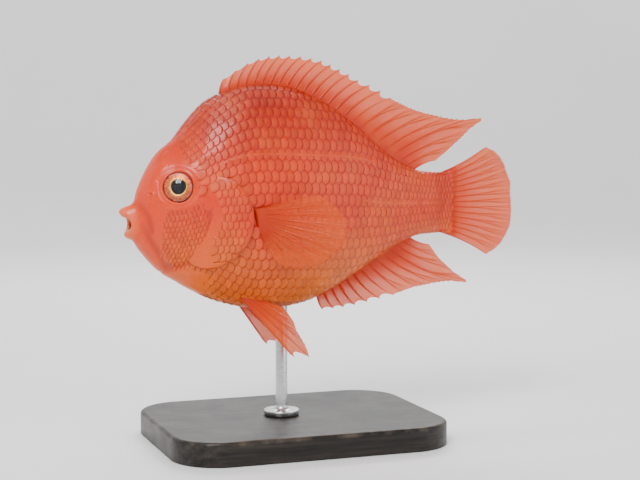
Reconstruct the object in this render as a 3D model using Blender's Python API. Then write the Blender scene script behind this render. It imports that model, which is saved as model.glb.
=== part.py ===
"""A blood parrot cichlid, life size, held in a swimming pose by a plain display stand.

Metres, +Z up. The origin is on the floor below the middle of the whole object, the head points to -X and
the fish's left flank to -Y. The fish is worked out in its own frame, whose empty is on the body axis at
the lips: s runs from the lips to the tail, y to the right flank and z up. Body outlines are fractions of
the standard length, so the fish keeps its proportions when that length changes.
"""

import math

import bmesh
import bpy
import numpy as np
from mathutils import Vector

# Driving dimensions
STANDARD_LENGTH = 0.142  # lips to the root of the tail fin
TAIL_FIN_LENGTH = 0.038
TOTAL_LENGTH = STANDARD_LENGTH + TAIL_FIN_LENGTH
AXIS_HEIGHT = 0.098  # body axis above the floor
GAP = 0.0003  # between pieces that touch
TAIL_SWING = 0.010  # how far the tail's tip swings to the right
SWING_START = 0.45 * STANDARD_LENGTH

# Side view of the body, as (distance from the lips, height) over the standard length
BACK_LINE = (
    (0.035, 0.040), (0.068, 0.112), (0.102, 0.166), (0.142, 0.202), (0.182, 0.250), (0.232, 0.303),
    (0.300, 0.340), (0.390, 0.361), (0.480, 0.357), (0.590, 0.319), (0.700, 0.248), (0.810, 0.159),
    (0.910, 0.107), (1.000, 0.096),
)
BELLY_LINE = (
    (0.035, -0.098), (0.080, -0.154), (0.160, -0.216), (0.280, -0.272), (0.420, -0.296),
    (0.560, -0.279), (0.680, -0.220), (0.800, -0.148), (0.905, -0.100), (1.000, -0.091),
)
HALF_WIDTH = (
    (0.035, 0.046), (0.080, 0.080), (0.160, 0.118), (0.280, 0.148), (0.420, 0.155), (0.580, 0.136),
    (0.740, 0.092), (0.880, 0.051), (1.000, 0.025),
)
RIDGE_PINCH = 0.16  # how much narrower than an ellipse the back and the belly are
STEM_FULLNESS = 0.68  # power that squares off the cross-section at the tail stem, where 1 is an ellipse
STEM_BLEND = (0.50 * STANDARD_LENGTH, 0.90 * STANDARD_LENGTH)  # stations where the section changes over

# Rings and cuts of the body
AROUND = 40  # skin points round the body
HEAD_RINGS, TORSO_RINGS, STEM_RINGS = 15, 19, 6
FIRST_RING = 0.0062  # the first ring behind the lips' groove
HEAD_CUT = 0.211 * STANDARD_LENGTH  # station of the cut behind the head
HEAD_CUT_BULGE = 0.110 * STANDARD_LENGTH  # how far that cut reaches back on the flanks
HEAD_CUT_TILT = 0.028 * STANDARD_LENGTH  # how far it leans back at the nape
CUT_BLEND = (0.006, 0.095)  # stations between which the rings follow that cut's shape
TAIL_CUT = 0.860 * STANDARD_LENGTH

# Mouth: rings from the end of the mouth's hollow, over the lips, to the groove behind them, as
# (distance from the lips, half width, half height, how far the corners lie back)
MOUTH_HEIGHT = -0.034 * STANDARD_LENGTH
MOUTH_RINGS = (
    (0.0085, 0.0010, 0.0010, 0.0000),
    (0.0052, 0.0018, 0.0021, 0.0008),
    (0.0020, 0.0025, 0.0030, 0.0020),
    (0.0004, 0.0032, 0.0040, 0.0026),
    (0.0003, 0.0042, 0.0051, 0.0027),
    (0.0014, 0.0050, 0.0061, 0.0027),
    (0.0032, 0.0053, 0.0066, 0.0026),
)
LIP_DEPTH = 0.004  # rings nearer the front than this belong to the lips
SWEEP_FADE = (0.004, 0.024)  # stations between which the sweep of the corners fades out
BEAK = 0.0008  # how far the upper lip reaches past the middle of the mouth
LIP_FRONT = MOUTH_RINGS[3][0] - BEAK  # station of the upper lip's front
FISH_X = -(LIP_FRONT + TOTAL_LENGTH) / 2  # station 0, with the whole fish centred on the origin

# Lower jaw: a wedge below the mouth's line and in front of the hinge line
JAW_HINGE = (0.0062, 0.0045, 0.0015)  # station, drop and slant of the short cut beside the mouth's corner
JAW_REAR = 0.140 * STANDARD_LENGTH  # station where the long cut reaches the throat's depth
THROAT_DEPTH = 0.32 * STANDARD_LENGTH
CUTTER_REACH = 0.040  # how far a wedge cutter reaches past the head to the sides
CUTTER_FRONT = 0.020  # and in front of it

# Eye: a flattened ball in a socket
EYE_STATION = 0.138 * STANDARD_LENGTH
EYE_HEIGHT = 0.070 * STANDARD_LENGTH
EYE_RADIUS = 0.0068
EYE_HALF_DEPTH = 0.0050
EYE_SINK = 0.0025  # from the skin down to the ball's middle
ORBIT_RIM = (0.0007, 0.0086, 0.0020)  # height, radius and breadth of the swelling round the eye
NOSTRIL = (0.066 * STANDARD_LENGTH, 0.048 * STANDARD_LENGTH, 0.0008)  # station, height, radius

# Gill cover: a plate between two arcs round a pivot behind the eye
COVER_PIVOT = (0.172 * STANDARD_LENGTH, -0.018 * STANDARD_LENGTH)  # station, height
COVER_RADII = (0.048 * STANDARD_LENGTH, 0.174 * STANDARD_LENGTH)
COVER_ARC = (math.radians(-92), math.radians(66))
COVER_GRID = (19, 8)  # points along the arcs and across the plate
COVER_END = 0.10  # breadth at the arcs' ends, over the breadth in the middle
COVER_ROUNDNESS = 0.5  # power of the sine that rounds those ends off
COVER_LIFT = ((0.0003, 0.0008), (0.0003, 0.0013))  # inner and outer face, at the front and at the free edge

# Fins: a membrane with a ridge along each ray
MEMBRANE = 0.0006  # thickness between the rays
FLESHY_SHARE = 0.18  # of the fin's length, where its root thins down to the membrane
RAY_FOOT = 0.28  # half the width of a ridge, over the spacing of the rays
SPINE_RIDGE = 0.00042  # height of a hard spine's ridge at its root, above the membrane on one side
SOFT_RIDGE = 0.00030
RAY_TAPER = 0.55  # share of the ridge that is gone at the ray's tip
EDGE_TAPER = 0.35  # share of the membrane's thickness that is gone at the fin's edge
SPINE_NOTCH = 0.10  # depth of the notches between spine tips, over the spines' length
SOFT_NOTCH = 0.022
FIN_ROWS = 8

# Fins of the back and belly: base, half thickness of the root, hard and soft rays, how far the rays bow
# forward, and along the base (share of the base, ray length over the standard length) and (share, lean
# of the ray from upright in degrees)
DORSAL_BASE = (0.285 * STANDARD_LENGTH, 0.905 * STANDARD_LENGTH)
DORSAL_RAYS = (16, 9)
DORSAL_LENGTHS = (
    (0, 0.046), (0.10, 0.085), (0.30, 0.112), (0.60, 0.132), (0.74, 0.180), (0.80, 0.235), (0.875, 0.350),
    (0.93, 0.225), (1, 0.090),
)
DORSAL_LEANS = ((0, 28), (0.30, 42), (0.60, 56), (0.85, 71), (1, 76))
ANAL_BASE = (0.590 * STANDARD_LENGTH, 0.890 * STANDARD_LENGTH)
ANAL_RAYS = (6, 8)
ANAL_LENGTHS = (
    (0, 0.046), (0.20, 0.085), (0.45, 0.132), (0.62, 0.190), (0.77, 0.305), (0.86, 0.190), (1, 0.085),
)
ANAL_LEANS = ((0, 26), (0.40, 48), (0.70, 66), (1, 74))
MEDIAN_ROOT = 0.0012
MEDIAN_BOW = 0.06  # over the ray's length
MEDIAN_WAVE = 0.0022  # how far the edge of these fins waves to each side

# Tail fin
TAIL_RAYS = 15
TAIL_SPREAD = math.radians(24)  # of the outermost rays
TAIL_ROOT = 0.0020
TAIL_ROOT_INSET = 0.0006  # from the stem's upper and lower edge to the fin's
TAIL_ROOT_FILL = 0.7  # width of the fin's root over that of the stem
TAIL_CORNER = (0.20, 5)  # how much shorter the outermost rays are, and how suddenly they get so
TAIL_BOW = 0.035  # how far the outermost rays bow towards the middle, over their length
TAIL_WAVE = 0.0018

# Breast fins, from the upper end of the base to the lower one
BREAST_BASE = ((0.352, 0.004), (0.366, -0.062))  # station and height over the standard length
BREAST_RAYS = 12
BREAST_LENGTHS = ((0, 0.195), (0.14, 0.242), (0.32, 0.262), (0.52, 0.232), (0.76, 0.170), (1, 0.095))
BREAST_TURNS = (14, -60)  # of the first and the last ray, up from level, in degrees
BREAST_FLARE = {"left": math.radians(36), "right": math.radians(31)}  # out from the flank
BREAST_ROOT = 0.0011
BREAST_CUP = 0.0030

# Belly fins, from the front end of the base to the rear one
PELVIC_BASE = (0.330 * STANDARD_LENGTH, 0.385 * STANDARD_LENGTH)
PELVIC_PLACE = math.radians(-66)  # angle in the body's cross-section
PELVIC_RAYS = (1, 5)
PELVIC_LENGTHS = ((0, 0.235), (0.20, 0.262), (0.40, 0.195), (0.70, 0.135), (1, 0.080))
PELVIC_TURNS = (52, 18)  # of the first and the last ray, down from level, in degrees
PELVIC_FLARE = math.radians(24)
PELVIC_ROOT = 0.0010
PELVIC_CUP = 0.0012

# Display stand
BASE_SIZE = (0.118, 0.090, 0.010)
BASE_MIDDLE = -0.018  # along X
BASE_CORNER = 0.020
BASE_EDGE = 0.0015
ROD_STATION = 0.475 * STANDARD_LENGTH
ROD_RADIUS = 0.0025
ROD_INSERT = 0.006  # how deep the rod reaches into the belly
ROD_FOOT = (0.0075, 0.0022)  # radius and height of the flange at the rod's foot
ROD_FILLET = 0.002
ROD_EDGE = 0.0005
ROD_AROUND = 24

BODY_RED = (0.80, 0.13, 0.03, 1.0)
FIN_RED = (0.86, 0.20, 0.05, 1.0)
EYE_BLACK = (0.03, 0.02, 0.02, 1.0)
BASE_BLACK = (0.05, 0.05, 0.05, 1.0)
STEEL = (0.62, 0.62, 0.64, 1.0)

LEFT, RIGHT = -1, 1
SIDES = (("left", LEFT), ("right", RIGHT))
ACROSS = np.array([0.0, 1.0, 0.0])
UP = np.array([0.0, 0.0, 1.0])


def smooth_line(knots, reach=1.0, rise=1.0):
    """A smooth curve through knots, as a function. reach and rise scale its two axes."""
    at, value = (np.array(knots, float) * (reach, rise)).T
    slope = np.gradient(value, at)

    def line(x):
        x = np.clip(x, at[0], at[-1])
        i = np.clip(np.searchsorted(at, x, side="right") - 1, 0, len(at) - 2)
        step = at[i + 1] - at[i]
        t = (x - at[i]) / step
        ease = t * t * (3 - 2 * t)
        bend = t * (1 - t) ** 2 * slope[i] + t * t * (t - 1) * slope[i + 1]
        return value[i] * (1 - ease) + value[i + 1] * ease + bend * step

    return line


back = smooth_line(BACK_LINE, STANDARD_LENGTH, STANDARD_LENGTH)
belly = smooth_line(BELLY_LINE, STANDARD_LENGTH, STANDARD_LENGTH)
half_width = smooth_line(HALF_WIDTH, STANDARD_LENGTH, STANDARD_LENGTH)


def smoothstep(low, high, x):
    t = np.clip((x - low) / (high - low), 0, 1)
    return t * t * (3 - 2 * t)


def fullness(s):
    """Power of the sine and cosine in the cross-section at s."""
    return 1 + (STEM_FULLNESS - 1) * smoothstep(*STEM_BLEND, s)


def pinch(s):
    return RIDGE_PINCH * (1 - smoothstep(*STEM_BLEND, s))


def signed_power(x, power):
    return np.sign(x) * np.abs(x) ** power


def section(s, angle):
    """Point of the skin at s, without its relief. Angle 0 is the right flank and a quarter turn the back."""
    s, angle = np.broadcast_arrays(np.asarray(s, float), angle)
    middle = (back(s) + belly(s)) / 2
    up = signed_power(np.sin(angle), fullness(s))
    across = signed_power(np.cos(angle), fullness(s))
    y = half_width(s) * across * (1 - pinch(s) * np.sin(angle) ** 2)
    return np.stack([s, y, middle + (back(s) - middle) * up], axis=-1)


def skin_normal(s, angle):
    step = 1e-5
    turn = 1e-3
    along = section(s + step, angle) - section(s - step, angle)
    around = section(s, angle + turn) - section(s, angle - turn)
    normal = np.cross(around, along)
    return normal / np.linalg.norm(normal, axis=-1, keepdims=True)


def relief(points):
    """How far the skin swells at these points: a low ring round each eye."""
    height, radius, breadth = ORBIT_RIM
    away = np.hypot(points[..., 0] - EYE_STATION, points[..., 2] - EYE_HEIGHT)
    return height * np.exp(-(((away - radius) / breadth) ** 2))


def skin(s, angle, lift=0.0):
    """Point of the skin, raised by lift along its normal."""
    points = section(s, angle)
    rise = relief(points) + lift
    return points + rise[..., None] * skin_normal(s, angle)


def flank_angle(s, z, side):
    """Angle of the flank point at height z."""
    middle = (back(s) + belly(s)) / 2
    up = np.clip((z - middle) / (back(s) - middle), -1, 1)
    angle = np.arcsin(signed_power(up, 1 / fullness(s)))
    return angle if side == RIGHT else math.pi - angle


def station(s, angle):
    """Where ring s lies along the fish at each angle: swept back at the mouth's corners and, near the cut
    behind the head, bulged back on the flanks and leaned back at the nape."""
    near_cut = smoothstep(CUT_BLEND[0], HEAD_CUT, s) * (1 - smoothstep(HEAD_CUT, CUT_BLEND[1], s))
    sweep = MOUTH_RINGS[-1][3] * (1 - smoothstep(*SWEEP_FADE, s))
    bulge = (sweep + HEAD_CUT_BULGE * near_cut) * np.cos(angle) ** 2
    return s + bulge + HEAD_CUT_TILT * near_cut * np.sin(angle)


def angles():
    return np.arange(AROUND) * 2 * math.pi / AROUND


def body_rings(first, last, count):
    return [skin(station(s, angles()), angles()) for s in np.linspace(first, last, count)]


def mouth_rings():
    rings = []
    for s, wide, high, sweep in MOUTH_RINGS:
        beak = BEAK if s < LIP_DEPTH else 0
        x = s + sweep * np.cos(angles()) ** 2 - beak * np.sin(angles())
        rings.append(np.stack([x, wide * np.cos(angles()), MOUTH_HEIGHT + high * np.sin(angles())], axis=-1))
    return rings


def swing(points):
    """Bends fish points sideways, more and more towards the tail."""
    points = np.array(points, float)
    reach = np.clip((points[..., 0] - SWING_START) / (TOTAL_LENGTH - SWING_START), 0, None)
    points[..., 1] += TAIL_SWING * reach**2
    return points


def finish(name, colour, roughness, metallic=0.0):
    material = bpy.data.materials.new(name)
    material.use_nodes = True
    shader = material.node_tree.nodes["Principled BSDF"]
    shader.inputs["Base Color"].default_value = colour
    shader.inputs["Roughness"].default_value = roughness
    shader.inputs["Metallic"].default_value = metallic
    return material


def new_object(name, made, parent, sharp=math.radians(40)):
    """An object from a bmesh, which is freed, with its faces pointing out and smooth but for sharp edges."""
    bmesh.ops.recalc_face_normals(made, faces=made.faces)
    mesh = bpy.data.meshes.new(name)
    made.to_mesh(mesh)
    made.free()
    mesh.shade_smooth()
    mesh.set_sharp_from_angle(angle=sharp)
    piece = bpy.data.objects.new(name, mesh)
    bpy.context.scene.collection.objects.link(piece)
    piece.parent = parent
    return piece


def solid(name, points, faces, material, parent=None, sharp=math.radians(40)):
    """An object of one material from points and faces."""
    made = bmesh.new()
    verts = [made.verts.new(point) for point in points]
    for face in faces:
        made.faces.new([verts[k] for k in face])
    piece = new_object(name, made, parent, sharp)
    piece.data.materials.append(material)
    return piece


def lofted(rings):
    """Points and faces of a closed tube through rings of equal count, with a fan at each end."""
    count = len(rings[0])
    points = [p for ring in rings for p in ring]
    faces = []
    for r in range(len(rings) - 1):
        for k in range(count):
            a, b = r * count + k, r * count + (k + 1) % count
            faces.append((a, b, b + count, a + count))
    for ring in (0, len(rings) - 1):
        points.append(np.mean(rings[ring], axis=0))
        faces += [(ring * count + k, ring * count + (k + 1) % count, len(points) - 1) for k in range(count)]
    return points, faces


def sheet(left, right):
    """Points and triangles of a thin closed sheet between two grids, split alike on both faces."""
    columns, rows = left.shape[:2]
    points = np.concatenate([left.reshape(-1, 3), right.reshape(-1, 3)])
    other = columns * rows
    faces = []

    def at(c, r):
        return c * rows + r

    for c in range(columns - 1):
        for r in range(rows - 1):
            quad = (at(c, r), at(c + 1, r), at(c + 1, r + 1), at(c, r + 1))
            for i, j, k in ((0, 1, 2), (0, 2, 3)):
                faces.append((quad[i], quad[j], quad[k]))
                faces.append((quad[k] + other, quad[j] + other, quad[i] + other))
    edge = [at(c, 0) for c in range(columns)]
    edge += [at(columns - 1, r) for r in range(1, rows)]
    edge += [at(c, rows - 1) for c in range(columns - 2, -1, -1)]
    edge += [at(0, r) for r in range(rows - 2, 0, -1)]
    for a, b in zip(edge, edge[1:] + edge[:1]):
        faces.append((b, a, a + other))
        faces.append((b, a + other, b + other))
    return points, faces


def keep_largest(made):
    """Removes all but the largest closed surface of a bmesh."""
    left = set(made.verts)
    islands = []
    while left:
        island = set()
        front = [left.pop()]
        while front:
            vert = front.pop()
            island.add(vert)
            near = {edge.other_vert(vert) for edge in vert.link_edges} & left
            left -= near
            front += near
        islands.append(island)
    islands.sort(key=len)
    bmesh.ops.delete(made, geom=[v for island in islands[:-1] for v in island], context="VERTS")


def boolean(piece, cutter, operation):
    """Applies an exact Boolean with cutter, which is then removed."""
    step = piece.modifiers.new("cut", "BOOLEAN")
    step.operation = operation
    step.solver = "EXACT"
    step.object = cutter
    bpy.context.view_layer.update()
    evaluated = piece.evaluated_get(bpy.context.evaluated_depsgraph_get())
    mesh = bpy.data.meshes.new_from_object(evaluated)
    piece.modifiers.remove(step)
    bpy.data.objects.remove(cutter)
    made = bmesh.new()
    made.from_mesh(mesh)
    keep_largest(made)
    made.to_mesh(mesh)
    made.free()
    mesh.shade_smooth()
    mesh.set_sharp_from_angle(angle=math.radians(40))
    piece.data = mesh


def ball(name, centre, radii, axis, parent, segments=20, rings=12):
    """An ellipsoid: radii are across and along axis."""
    made = bmesh.new()
    bmesh.ops.create_uvsphere(made, u_segments=segments, v_segments=rings, radius=1)
    turn = Vector(axis).to_track_quat("Z", "Y").to_matrix()
    for vert in made.verts:
        vert.co = turn @ (vert.co * Vector((radii[0], radii[0], radii[1])))
    piece = new_object(name, made, parent)
    piece.location = centre
    return piece


def eye_place(side):
    """Middle of the eyeball and the way it looks."""
    angle = flank_angle(EYE_STATION, EYE_HEIGHT, side)
    outward = skin_normal(EYE_STATION, angle)
    return section(EYE_STATION, angle) - EYE_SINK * outward, outward


def wedge(name, outline, parent):
    """A cutter: an outline in the side view, drawn out to both sides."""
    made = bmesh.new()
    face = made.faces.new([made.verts.new((s, -CUTTER_REACH, z)) for s, z in outline])
    drawn = bmesh.ops.extrude_face_region(made, geom=[face])["geom"]
    moved = [part for part in drawn if isinstance(part, bmesh.types.BMVert)]
    bmesh.ops.translate(made, vec=(0, 2 * CUTTER_REACH, 0), verts=moved)
    return new_object(name, made, parent)


def jaw_outline(grow):
    """Side view of the lower jaw's wedge, grown by this much at its cuts."""
    hinge, drop, slant = JAW_HINGE
    line = MOUTH_HEIGHT + grow
    return [
        (-CUTTER_FRONT, line), (hinge + grow, line), (hinge + slant + grow, line - drop),
        (JAW_REAR + grow, -THROAT_DEPTH), (-CUTTER_FRONT, -THROAT_DEPTH),
    ]


def head_shape(name, material, fish):
    rings = mouth_rings() + body_rings(FIRST_RING, HEAD_CUT - GAP / 2, HEAD_RINGS)
    return solid(name, *lofted(rings), material, fish)


def make_head(material, fish):
    """Head with its sockets, nostrils and open mouth, and the lower jaw cut from it."""
    head = head_shape("head", material, fish)
    jaw = head_shape("jaw_lower", material, fish)
    boolean(head, wedge("jaw_space", jaw_outline(GAP), fish), "DIFFERENCE")
    boolean(jaw, wedge("jaw_wedge", jaw_outline(0), fish), "INTERSECT")
    for name, side in SIDES:
        centre, outward = eye_place(side)
        radii = (EYE_RADIUS + GAP, EYE_HALF_DEPTH + GAP)
        boolean(head, ball("socket_" + name, centre, radii, outward, fish), "DIFFERENCE")
        s, z, radius = NOSTRIL
        pit = skin(s, flank_angle(s, z, side))
        boolean(head, ball("nostril_" + name, pit, (radius, radius), outward, fish, 10, 6), "DIFFERENCE")


def make_eyes(material, fish):
    for name, side in SIDES:
        centre, outward = eye_place(side)
        eye = ball("eye_" + name, centre, (EYE_RADIUS, EYE_HALF_DEPTH), outward, fish)
        eye.data.materials.append(material)


def make_torso(material, fish):
    """Body from the shoulders to the tail stem, with a socket for the rod in its belly."""
    points, faces = lofted(body_rings(HEAD_CUT + GAP / 2, TAIL_CUT - GAP / 2, TORSO_RINGS))
    torso = solid("torso", swing(points), faces, material, fish)
    floor = belly(ROD_STATION)
    radius = ROD_RADIUS + GAP
    outline = [(radius, floor - ROD_INSERT), (radius, floor + ROD_INSERT + GAP)]
    points, faces = turned(outline, (ROD_STATION, 0))
    boolean(torso, solid("rod_socket", swing(points), faces, material, fish), "DIFFERENCE")


def make_tail_stem(material, fish):
    points, faces = lofted(body_rings(TAIL_CUT + GAP / 2, STANDARD_LENGTH, STEM_RINGS))
    solid("tail_stem", swing(points), faces, material, fish)


def make_gill_covers(material, fish):
    rows, columns = COVER_GRID
    across = np.linspace(0, 1, columns)[None, :]
    turn = np.linspace(*COVER_ARC, rows)[:, None]
    rounding = np.maximum(np.sin(np.linspace(0, math.pi, rows)), 0)[:, None] ** COVER_ROUNDNESS
    breadth = (COVER_RADII[1] - COVER_RADII[0]) * (COVER_END + (1 - COVER_END) * rounding)
    radius = sum(COVER_RADII) / 2 + breadth * (across - 0.5)
    s = COVER_PIVOT[0] + radius * np.cos(turn)
    z = COVER_PIVOT[1] + radius * np.sin(turn)
    for name, side in SIDES:
        inner, outer = (
            skin(s, flank_angle(s, z, side), front + (free - front) * across + 0 * s)
            for front, free in zip(*COVER_LIFT)
        )
        solid("gill_cover_" + name, *sheet(outer, inner), material, fish)


def ray_columns(hard, soft):
    """Columns of a fin's sheet: the crest of each ray with a foot at either side, from the fin's first
    ray to its last. Returns their places from 0 to 1, the height of the ridge there and the notch."""
    places, ridges, notches = [], [], []
    for ray in range(hard + soft):
        ridge, notch = (SPINE_RIDGE, SPINE_NOTCH) if ray < hard else (SOFT_RIDGE, SOFT_NOTCH)
        for foot in (-RAY_FOOT, 0, RAY_FOOT):
            place = (ray + foot) / (hard + soft - 1)
            if 0 <= place <= 1:
                places.append(place)
                ridges.append(ridge if foot == 0 else 0)
                notches.append(0 if foot == 0 else notch)
    return np.array(places), np.array(ridges), np.array(notches)


def straight(u):
    """The bow of rays that have none."""
    return 0 * u


def fin_solid(name, rays, root_half, root, tip, across, wave, material, fish, bow=straight):
    """A fin between its root, which lies on the skin, and its tips.

    root(u, half) gives the root's two points, half to each side, and tip(u) the free edge, for u along
    the root from 0 to 1. across is the way across the fin, and wave(u, v) moves it that way, for v out to
    the tips. bow(u) bends the rays within the fin, over their length."""
    u, ridge, notch = ray_columns(*rays)
    v = np.linspace(0, 1, FIN_ROWS)[None, :]
    flesh = (root_half - MEMBRANE / 2) * np.clip(1 - v / FLESHY_SHARE, 0, 1) ** 2
    ray = ridge[:, None] * (1 - RAY_TAPER * v)
    half = MEMBRANE / 2 * (1 - EDGE_TAPER * v**3) + np.maximum(flesh, ray)
    near, far = root(u, half[:, 0])
    middle = (near + far) / 2
    away = (tip(u) - middle) * (1 - notch)[:, None]
    centre = middle[:, None] + away[:, None] * v[..., None]
    centre += np.cross(away, across)[:, None] * (4 * bow(u)[:, None] * v * (1 - v))[..., None]
    centre += wave(u[:, None], v)[..., None] * across
    left, right = (centre + side * half[..., None] * across for side in (LEFT, RIGHT))
    left[:, 0], right[:, 0] = near, far
    points, faces = sheet(swing(left), swing(right))
    return solid(name, points, faces, material, fish, sharp=math.radians(60))


def median_fin(name, base, rays, lengths, leans, upward, material, fish):
    """The fin of the back or of the belly's rear: rays that lean more and more towards the tail."""
    length = smooth_line(lengths, rise=STANDARD_LENGTH)
    lean = smooth_line(leans)
    sign = 1 if upward else -1

    def foot_point(u):
        return skin(base[0] + (base[1] - base[0]) * u, sign * math.pi / 2, GAP)

    def root(u, half):
        return foot_point(u) - half[:, None] * ACROSS, foot_point(u) + half[:, None] * ACROSS

    def tip(u):
        angle = np.radians(lean(u))
        away = np.stack([np.sin(angle), 0 * u, sign * np.cos(angle)], axis=-1)
        return foot_point(u) + length(u)[:, None] * away

    def wave(u, v):
        return MEDIAN_WAVE * v**1.5 * np.sin(2 * math.pi * (1.1 * u + 0.15))

    def bow(u):
        return sign * MEDIAN_BOW + 0 * u

    fin_solid(name, rays, MEDIAN_ROOT, root, tip, ACROSS, wave, material, fish, bow)


def tail_fin(name, material, fish):
    """The tail fin: rays that fan out from the end of the tail stem to a rounded edge."""
    high = back(STANDARD_LENGTH) - TAIL_ROOT_INSET
    low = belly(STANDARD_LENGTH) + TAIL_ROOT_INSET
    shorter, power = TAIL_CORNER

    def root(u, half):
        z = high + (low - high) * u
        share = np.clip(1 - (2 * u - 1) ** 2, 0, 1) ** 0.5
        wide = np.maximum(half_width(STANDARD_LENGTH) * TAIL_ROOT_FILL * share, MEMBRANE / 2)
        s = 0 * u + STANDARD_LENGTH + GAP
        return tuple(np.stack([s, side * wide, z], axis=-1) for side in (LEFT, RIGHT))

    def tip(u):
        turn = TAIL_SPREAD * (1 - 2 * u)
        reach = TAIL_FIN_LENGTH * (1 - shorter * np.abs(2 * u - 1) ** power)
        away = np.stack([np.cos(turn), 0 * u, np.sin(turn)], axis=-1)
        foot = np.stack([0 * u + STANDARD_LENGTH, 0 * u, high + (low - high) * u], axis=-1)
        return foot + reach[:, None] * away

    def wave(u, v):
        return TAIL_WAVE * v**1.5 * np.sin(2 * math.pi * (u + 0.1))

    def bow(u):
        return TAIL_BOW * (2 * u - 1)

    fin_solid(name, (0, TAIL_RAYS), TAIL_ROOT, root, tip, ACROSS, wave, material, fish, bow)


def breast_fin(name, side, flare, material, fish):
    """A breast fin: a rounded fan on the flank just behind the gill cover."""
    top, bottom = STANDARD_LENGTH * np.array(BREAST_BASE)
    length = smooth_line(BREAST_LENGTHS, rise=STANDARD_LENGTH)
    outward = np.array([math.cos(flare), side * math.sin(flare), 0.0])
    rearward = np.array([math.sin(flare), -side * math.cos(flare), 0.0])

    def root(u, half):
        s, z = top[:, None] + (bottom - top)[:, None] * u
        return tuple(skin(s + d * half, flank_angle(s + d * half, z, side), GAP) for d in (-1, 1))

    def tip(u):
        turn = np.radians(BREAST_TURNS[0] + (BREAST_TURNS[1] - BREAST_TURNS[0]) * u)
        away = np.cos(turn)[:, None] * outward + np.sin(turn)[:, None] * UP
        return root(u, 0 * u)[0] + length(u)[:, None] * away

    def wave(u, v):
        return BREAST_CUP * v**2 * np.cos(math.pi * (u - 0.5))

    fin_solid(name, (0, BREAST_RAYS), BREAST_ROOT, root, tip, rearward, wave, material, fish)


def pelvic_fin(name, side, material, fish):
    """A belly fin: a pointed fan that hangs back from beside the middle of the belly."""
    length = smooth_line(PELVIC_LENGTHS, rise=STANDARD_LENGTH)
    place = PELVIC_PLACE if side == RIGHT else math.pi - PELVIC_PLACE
    outward = np.array([0.0, math.cos(PELVIC_FLARE), side * math.sin(PELVIC_FLARE)])

    def root(u, half):
        s = PELVIC_BASE[0] + (PELVIC_BASE[1] - PELVIC_BASE[0]) * u
        return tuple(skin(s, place + d * half / half_width(s), GAP) for d in (-1, 1))

    def tip(u):
        turn = np.radians(PELVIC_TURNS[0] + (PELVIC_TURNS[1] - PELVIC_TURNS[0]) * u)
        down = np.array([0.0, side * math.sin(PELVIC_FLARE), -math.cos(PELVIC_FLARE)])
        away = np.cos(turn)[:, None] * np.array([1.0, 0.0, 0.0]) + np.sin(turn)[:, None] * down
        return root(u, 0 * u)[0] + length(u)[:, None] * away

    def wave(u, v):
        return -side * PELVIC_CUP * v**2 * np.sin(math.pi * u)

    fin_solid(name, PELVIC_RAYS, PELVIC_ROOT, root, tip, outward, wave, material, fish)


def make_fins(material, fish):
    median_fin("dorsal_fin", DORSAL_BASE, DORSAL_RAYS, DORSAL_LENGTHS, DORSAL_LEANS, True, material, fish)
    median_fin("anal_fin", ANAL_BASE, ANAL_RAYS, ANAL_LENGTHS, ANAL_LEANS, False, material, fish)
    tail_fin("tail_fin", material, fish)
    for name, side in SIDES:
        breast_fin("pectoral_fin_" + name, side, BREAST_FLARE[name], material, fish)
        pelvic_fin("pelvic_fin_" + name, side, material, fish)


def turned(outline, centre):
    """Points and faces of a turned solid from its outline of (radius, height)."""
    turn = np.arange(ROD_AROUND) * 2 * math.pi / ROD_AROUND
    x = centre[0] + np.outer([r for r, z in outline], np.cos(turn))
    y = centre[1] + np.outer([r for r, z in outline], np.sin(turn))
    z = np.broadcast_to([[z] for r, z in outline], x.shape)
    return lofted(np.stack([x, y, z], axis=-1))


def make_base(material):
    """A flat plate with rounded corners and a small round along its upper edge."""
    height = BASE_SIZE[2]
    made = bmesh.new()
    bmesh.ops.create_cube(made, size=1)
    bmesh.ops.scale(made, vec=BASE_SIZE, verts=made.verts)
    upright = [e for e in made.edges if abs(e.verts[0].co.z - e.verts[1].co.z) > height / 2]
    bmesh.ops.bevel(made, geom=upright, offset=BASE_CORNER, segments=8, profile=0.5, affect="EDGES")
    rim = [e for e in made.edges if min(v.co.z for v in e.verts) > 0]
    bmesh.ops.bevel(made, geom=rim, offset=BASE_EDGE, segments=3, profile=0.5, affect="EDGES")
    base = new_object("stand_base", made, None)
    base.data.materials.append(material)
    base.location = (BASE_MIDDLE, 0, height / 2)


def make_rod(material):
    """A rod with a flange at its foot, whose top is held in the belly's socket."""
    foot_radius, foot_height = ROD_FOOT
    low = BASE_SIZE[2] + GAP
    shoulder = low + foot_height
    top = AXIS_HEIGHT + belly(ROD_STATION) + ROD_INSERT
    outline = [(foot_radius, low), (foot_radius, shoulder - ROD_EDGE), (foot_radius - ROD_EDGE, shoulder)]
    for turn in np.linspace(0, math.pi / 2, 5):
        inward = ROD_FILLET * (1 - math.sin(turn))
        outline.append((ROD_RADIUS + inward, shoulder + ROD_FILLET * (1 - math.cos(turn))))
    outline += [(ROD_RADIUS, top - ROD_EDGE), (ROD_RADIUS - ROD_EDGE, top)]
    sway = swing([[ROD_STATION, 0, 0]])[0][1]
    points, faces = turned(outline, (FISH_X + ROD_STATION, sway))
    solid("stand_rod", points, faces, material)


def main():
    for old in list(bpy.data.objects):
        bpy.data.objects.remove(old)
    fish = bpy.data.objects.new("fish", None)
    bpy.context.scene.collection.objects.link(fish)
    fish.location = (FISH_X, 0, AXIS_HEIGHT)
    skin_finish = finish("skin", BODY_RED, 0.35)
    make_head(skin_finish, fish)
    make_eyes(finish("eye", EYE_BLACK, 0.1), fish)
    make_torso(skin_finish, fish)
    make_tail_stem(skin_finish, fish)
    make_gill_covers(skin_finish, fish)
    make_fins(finish("fin", FIN_RED, 0.4), fish)
    make_base(finish("base", BASE_BLACK, 0.3))
    make_rod(finish("steel", STEEL, 0.25, 1.0))


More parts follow.
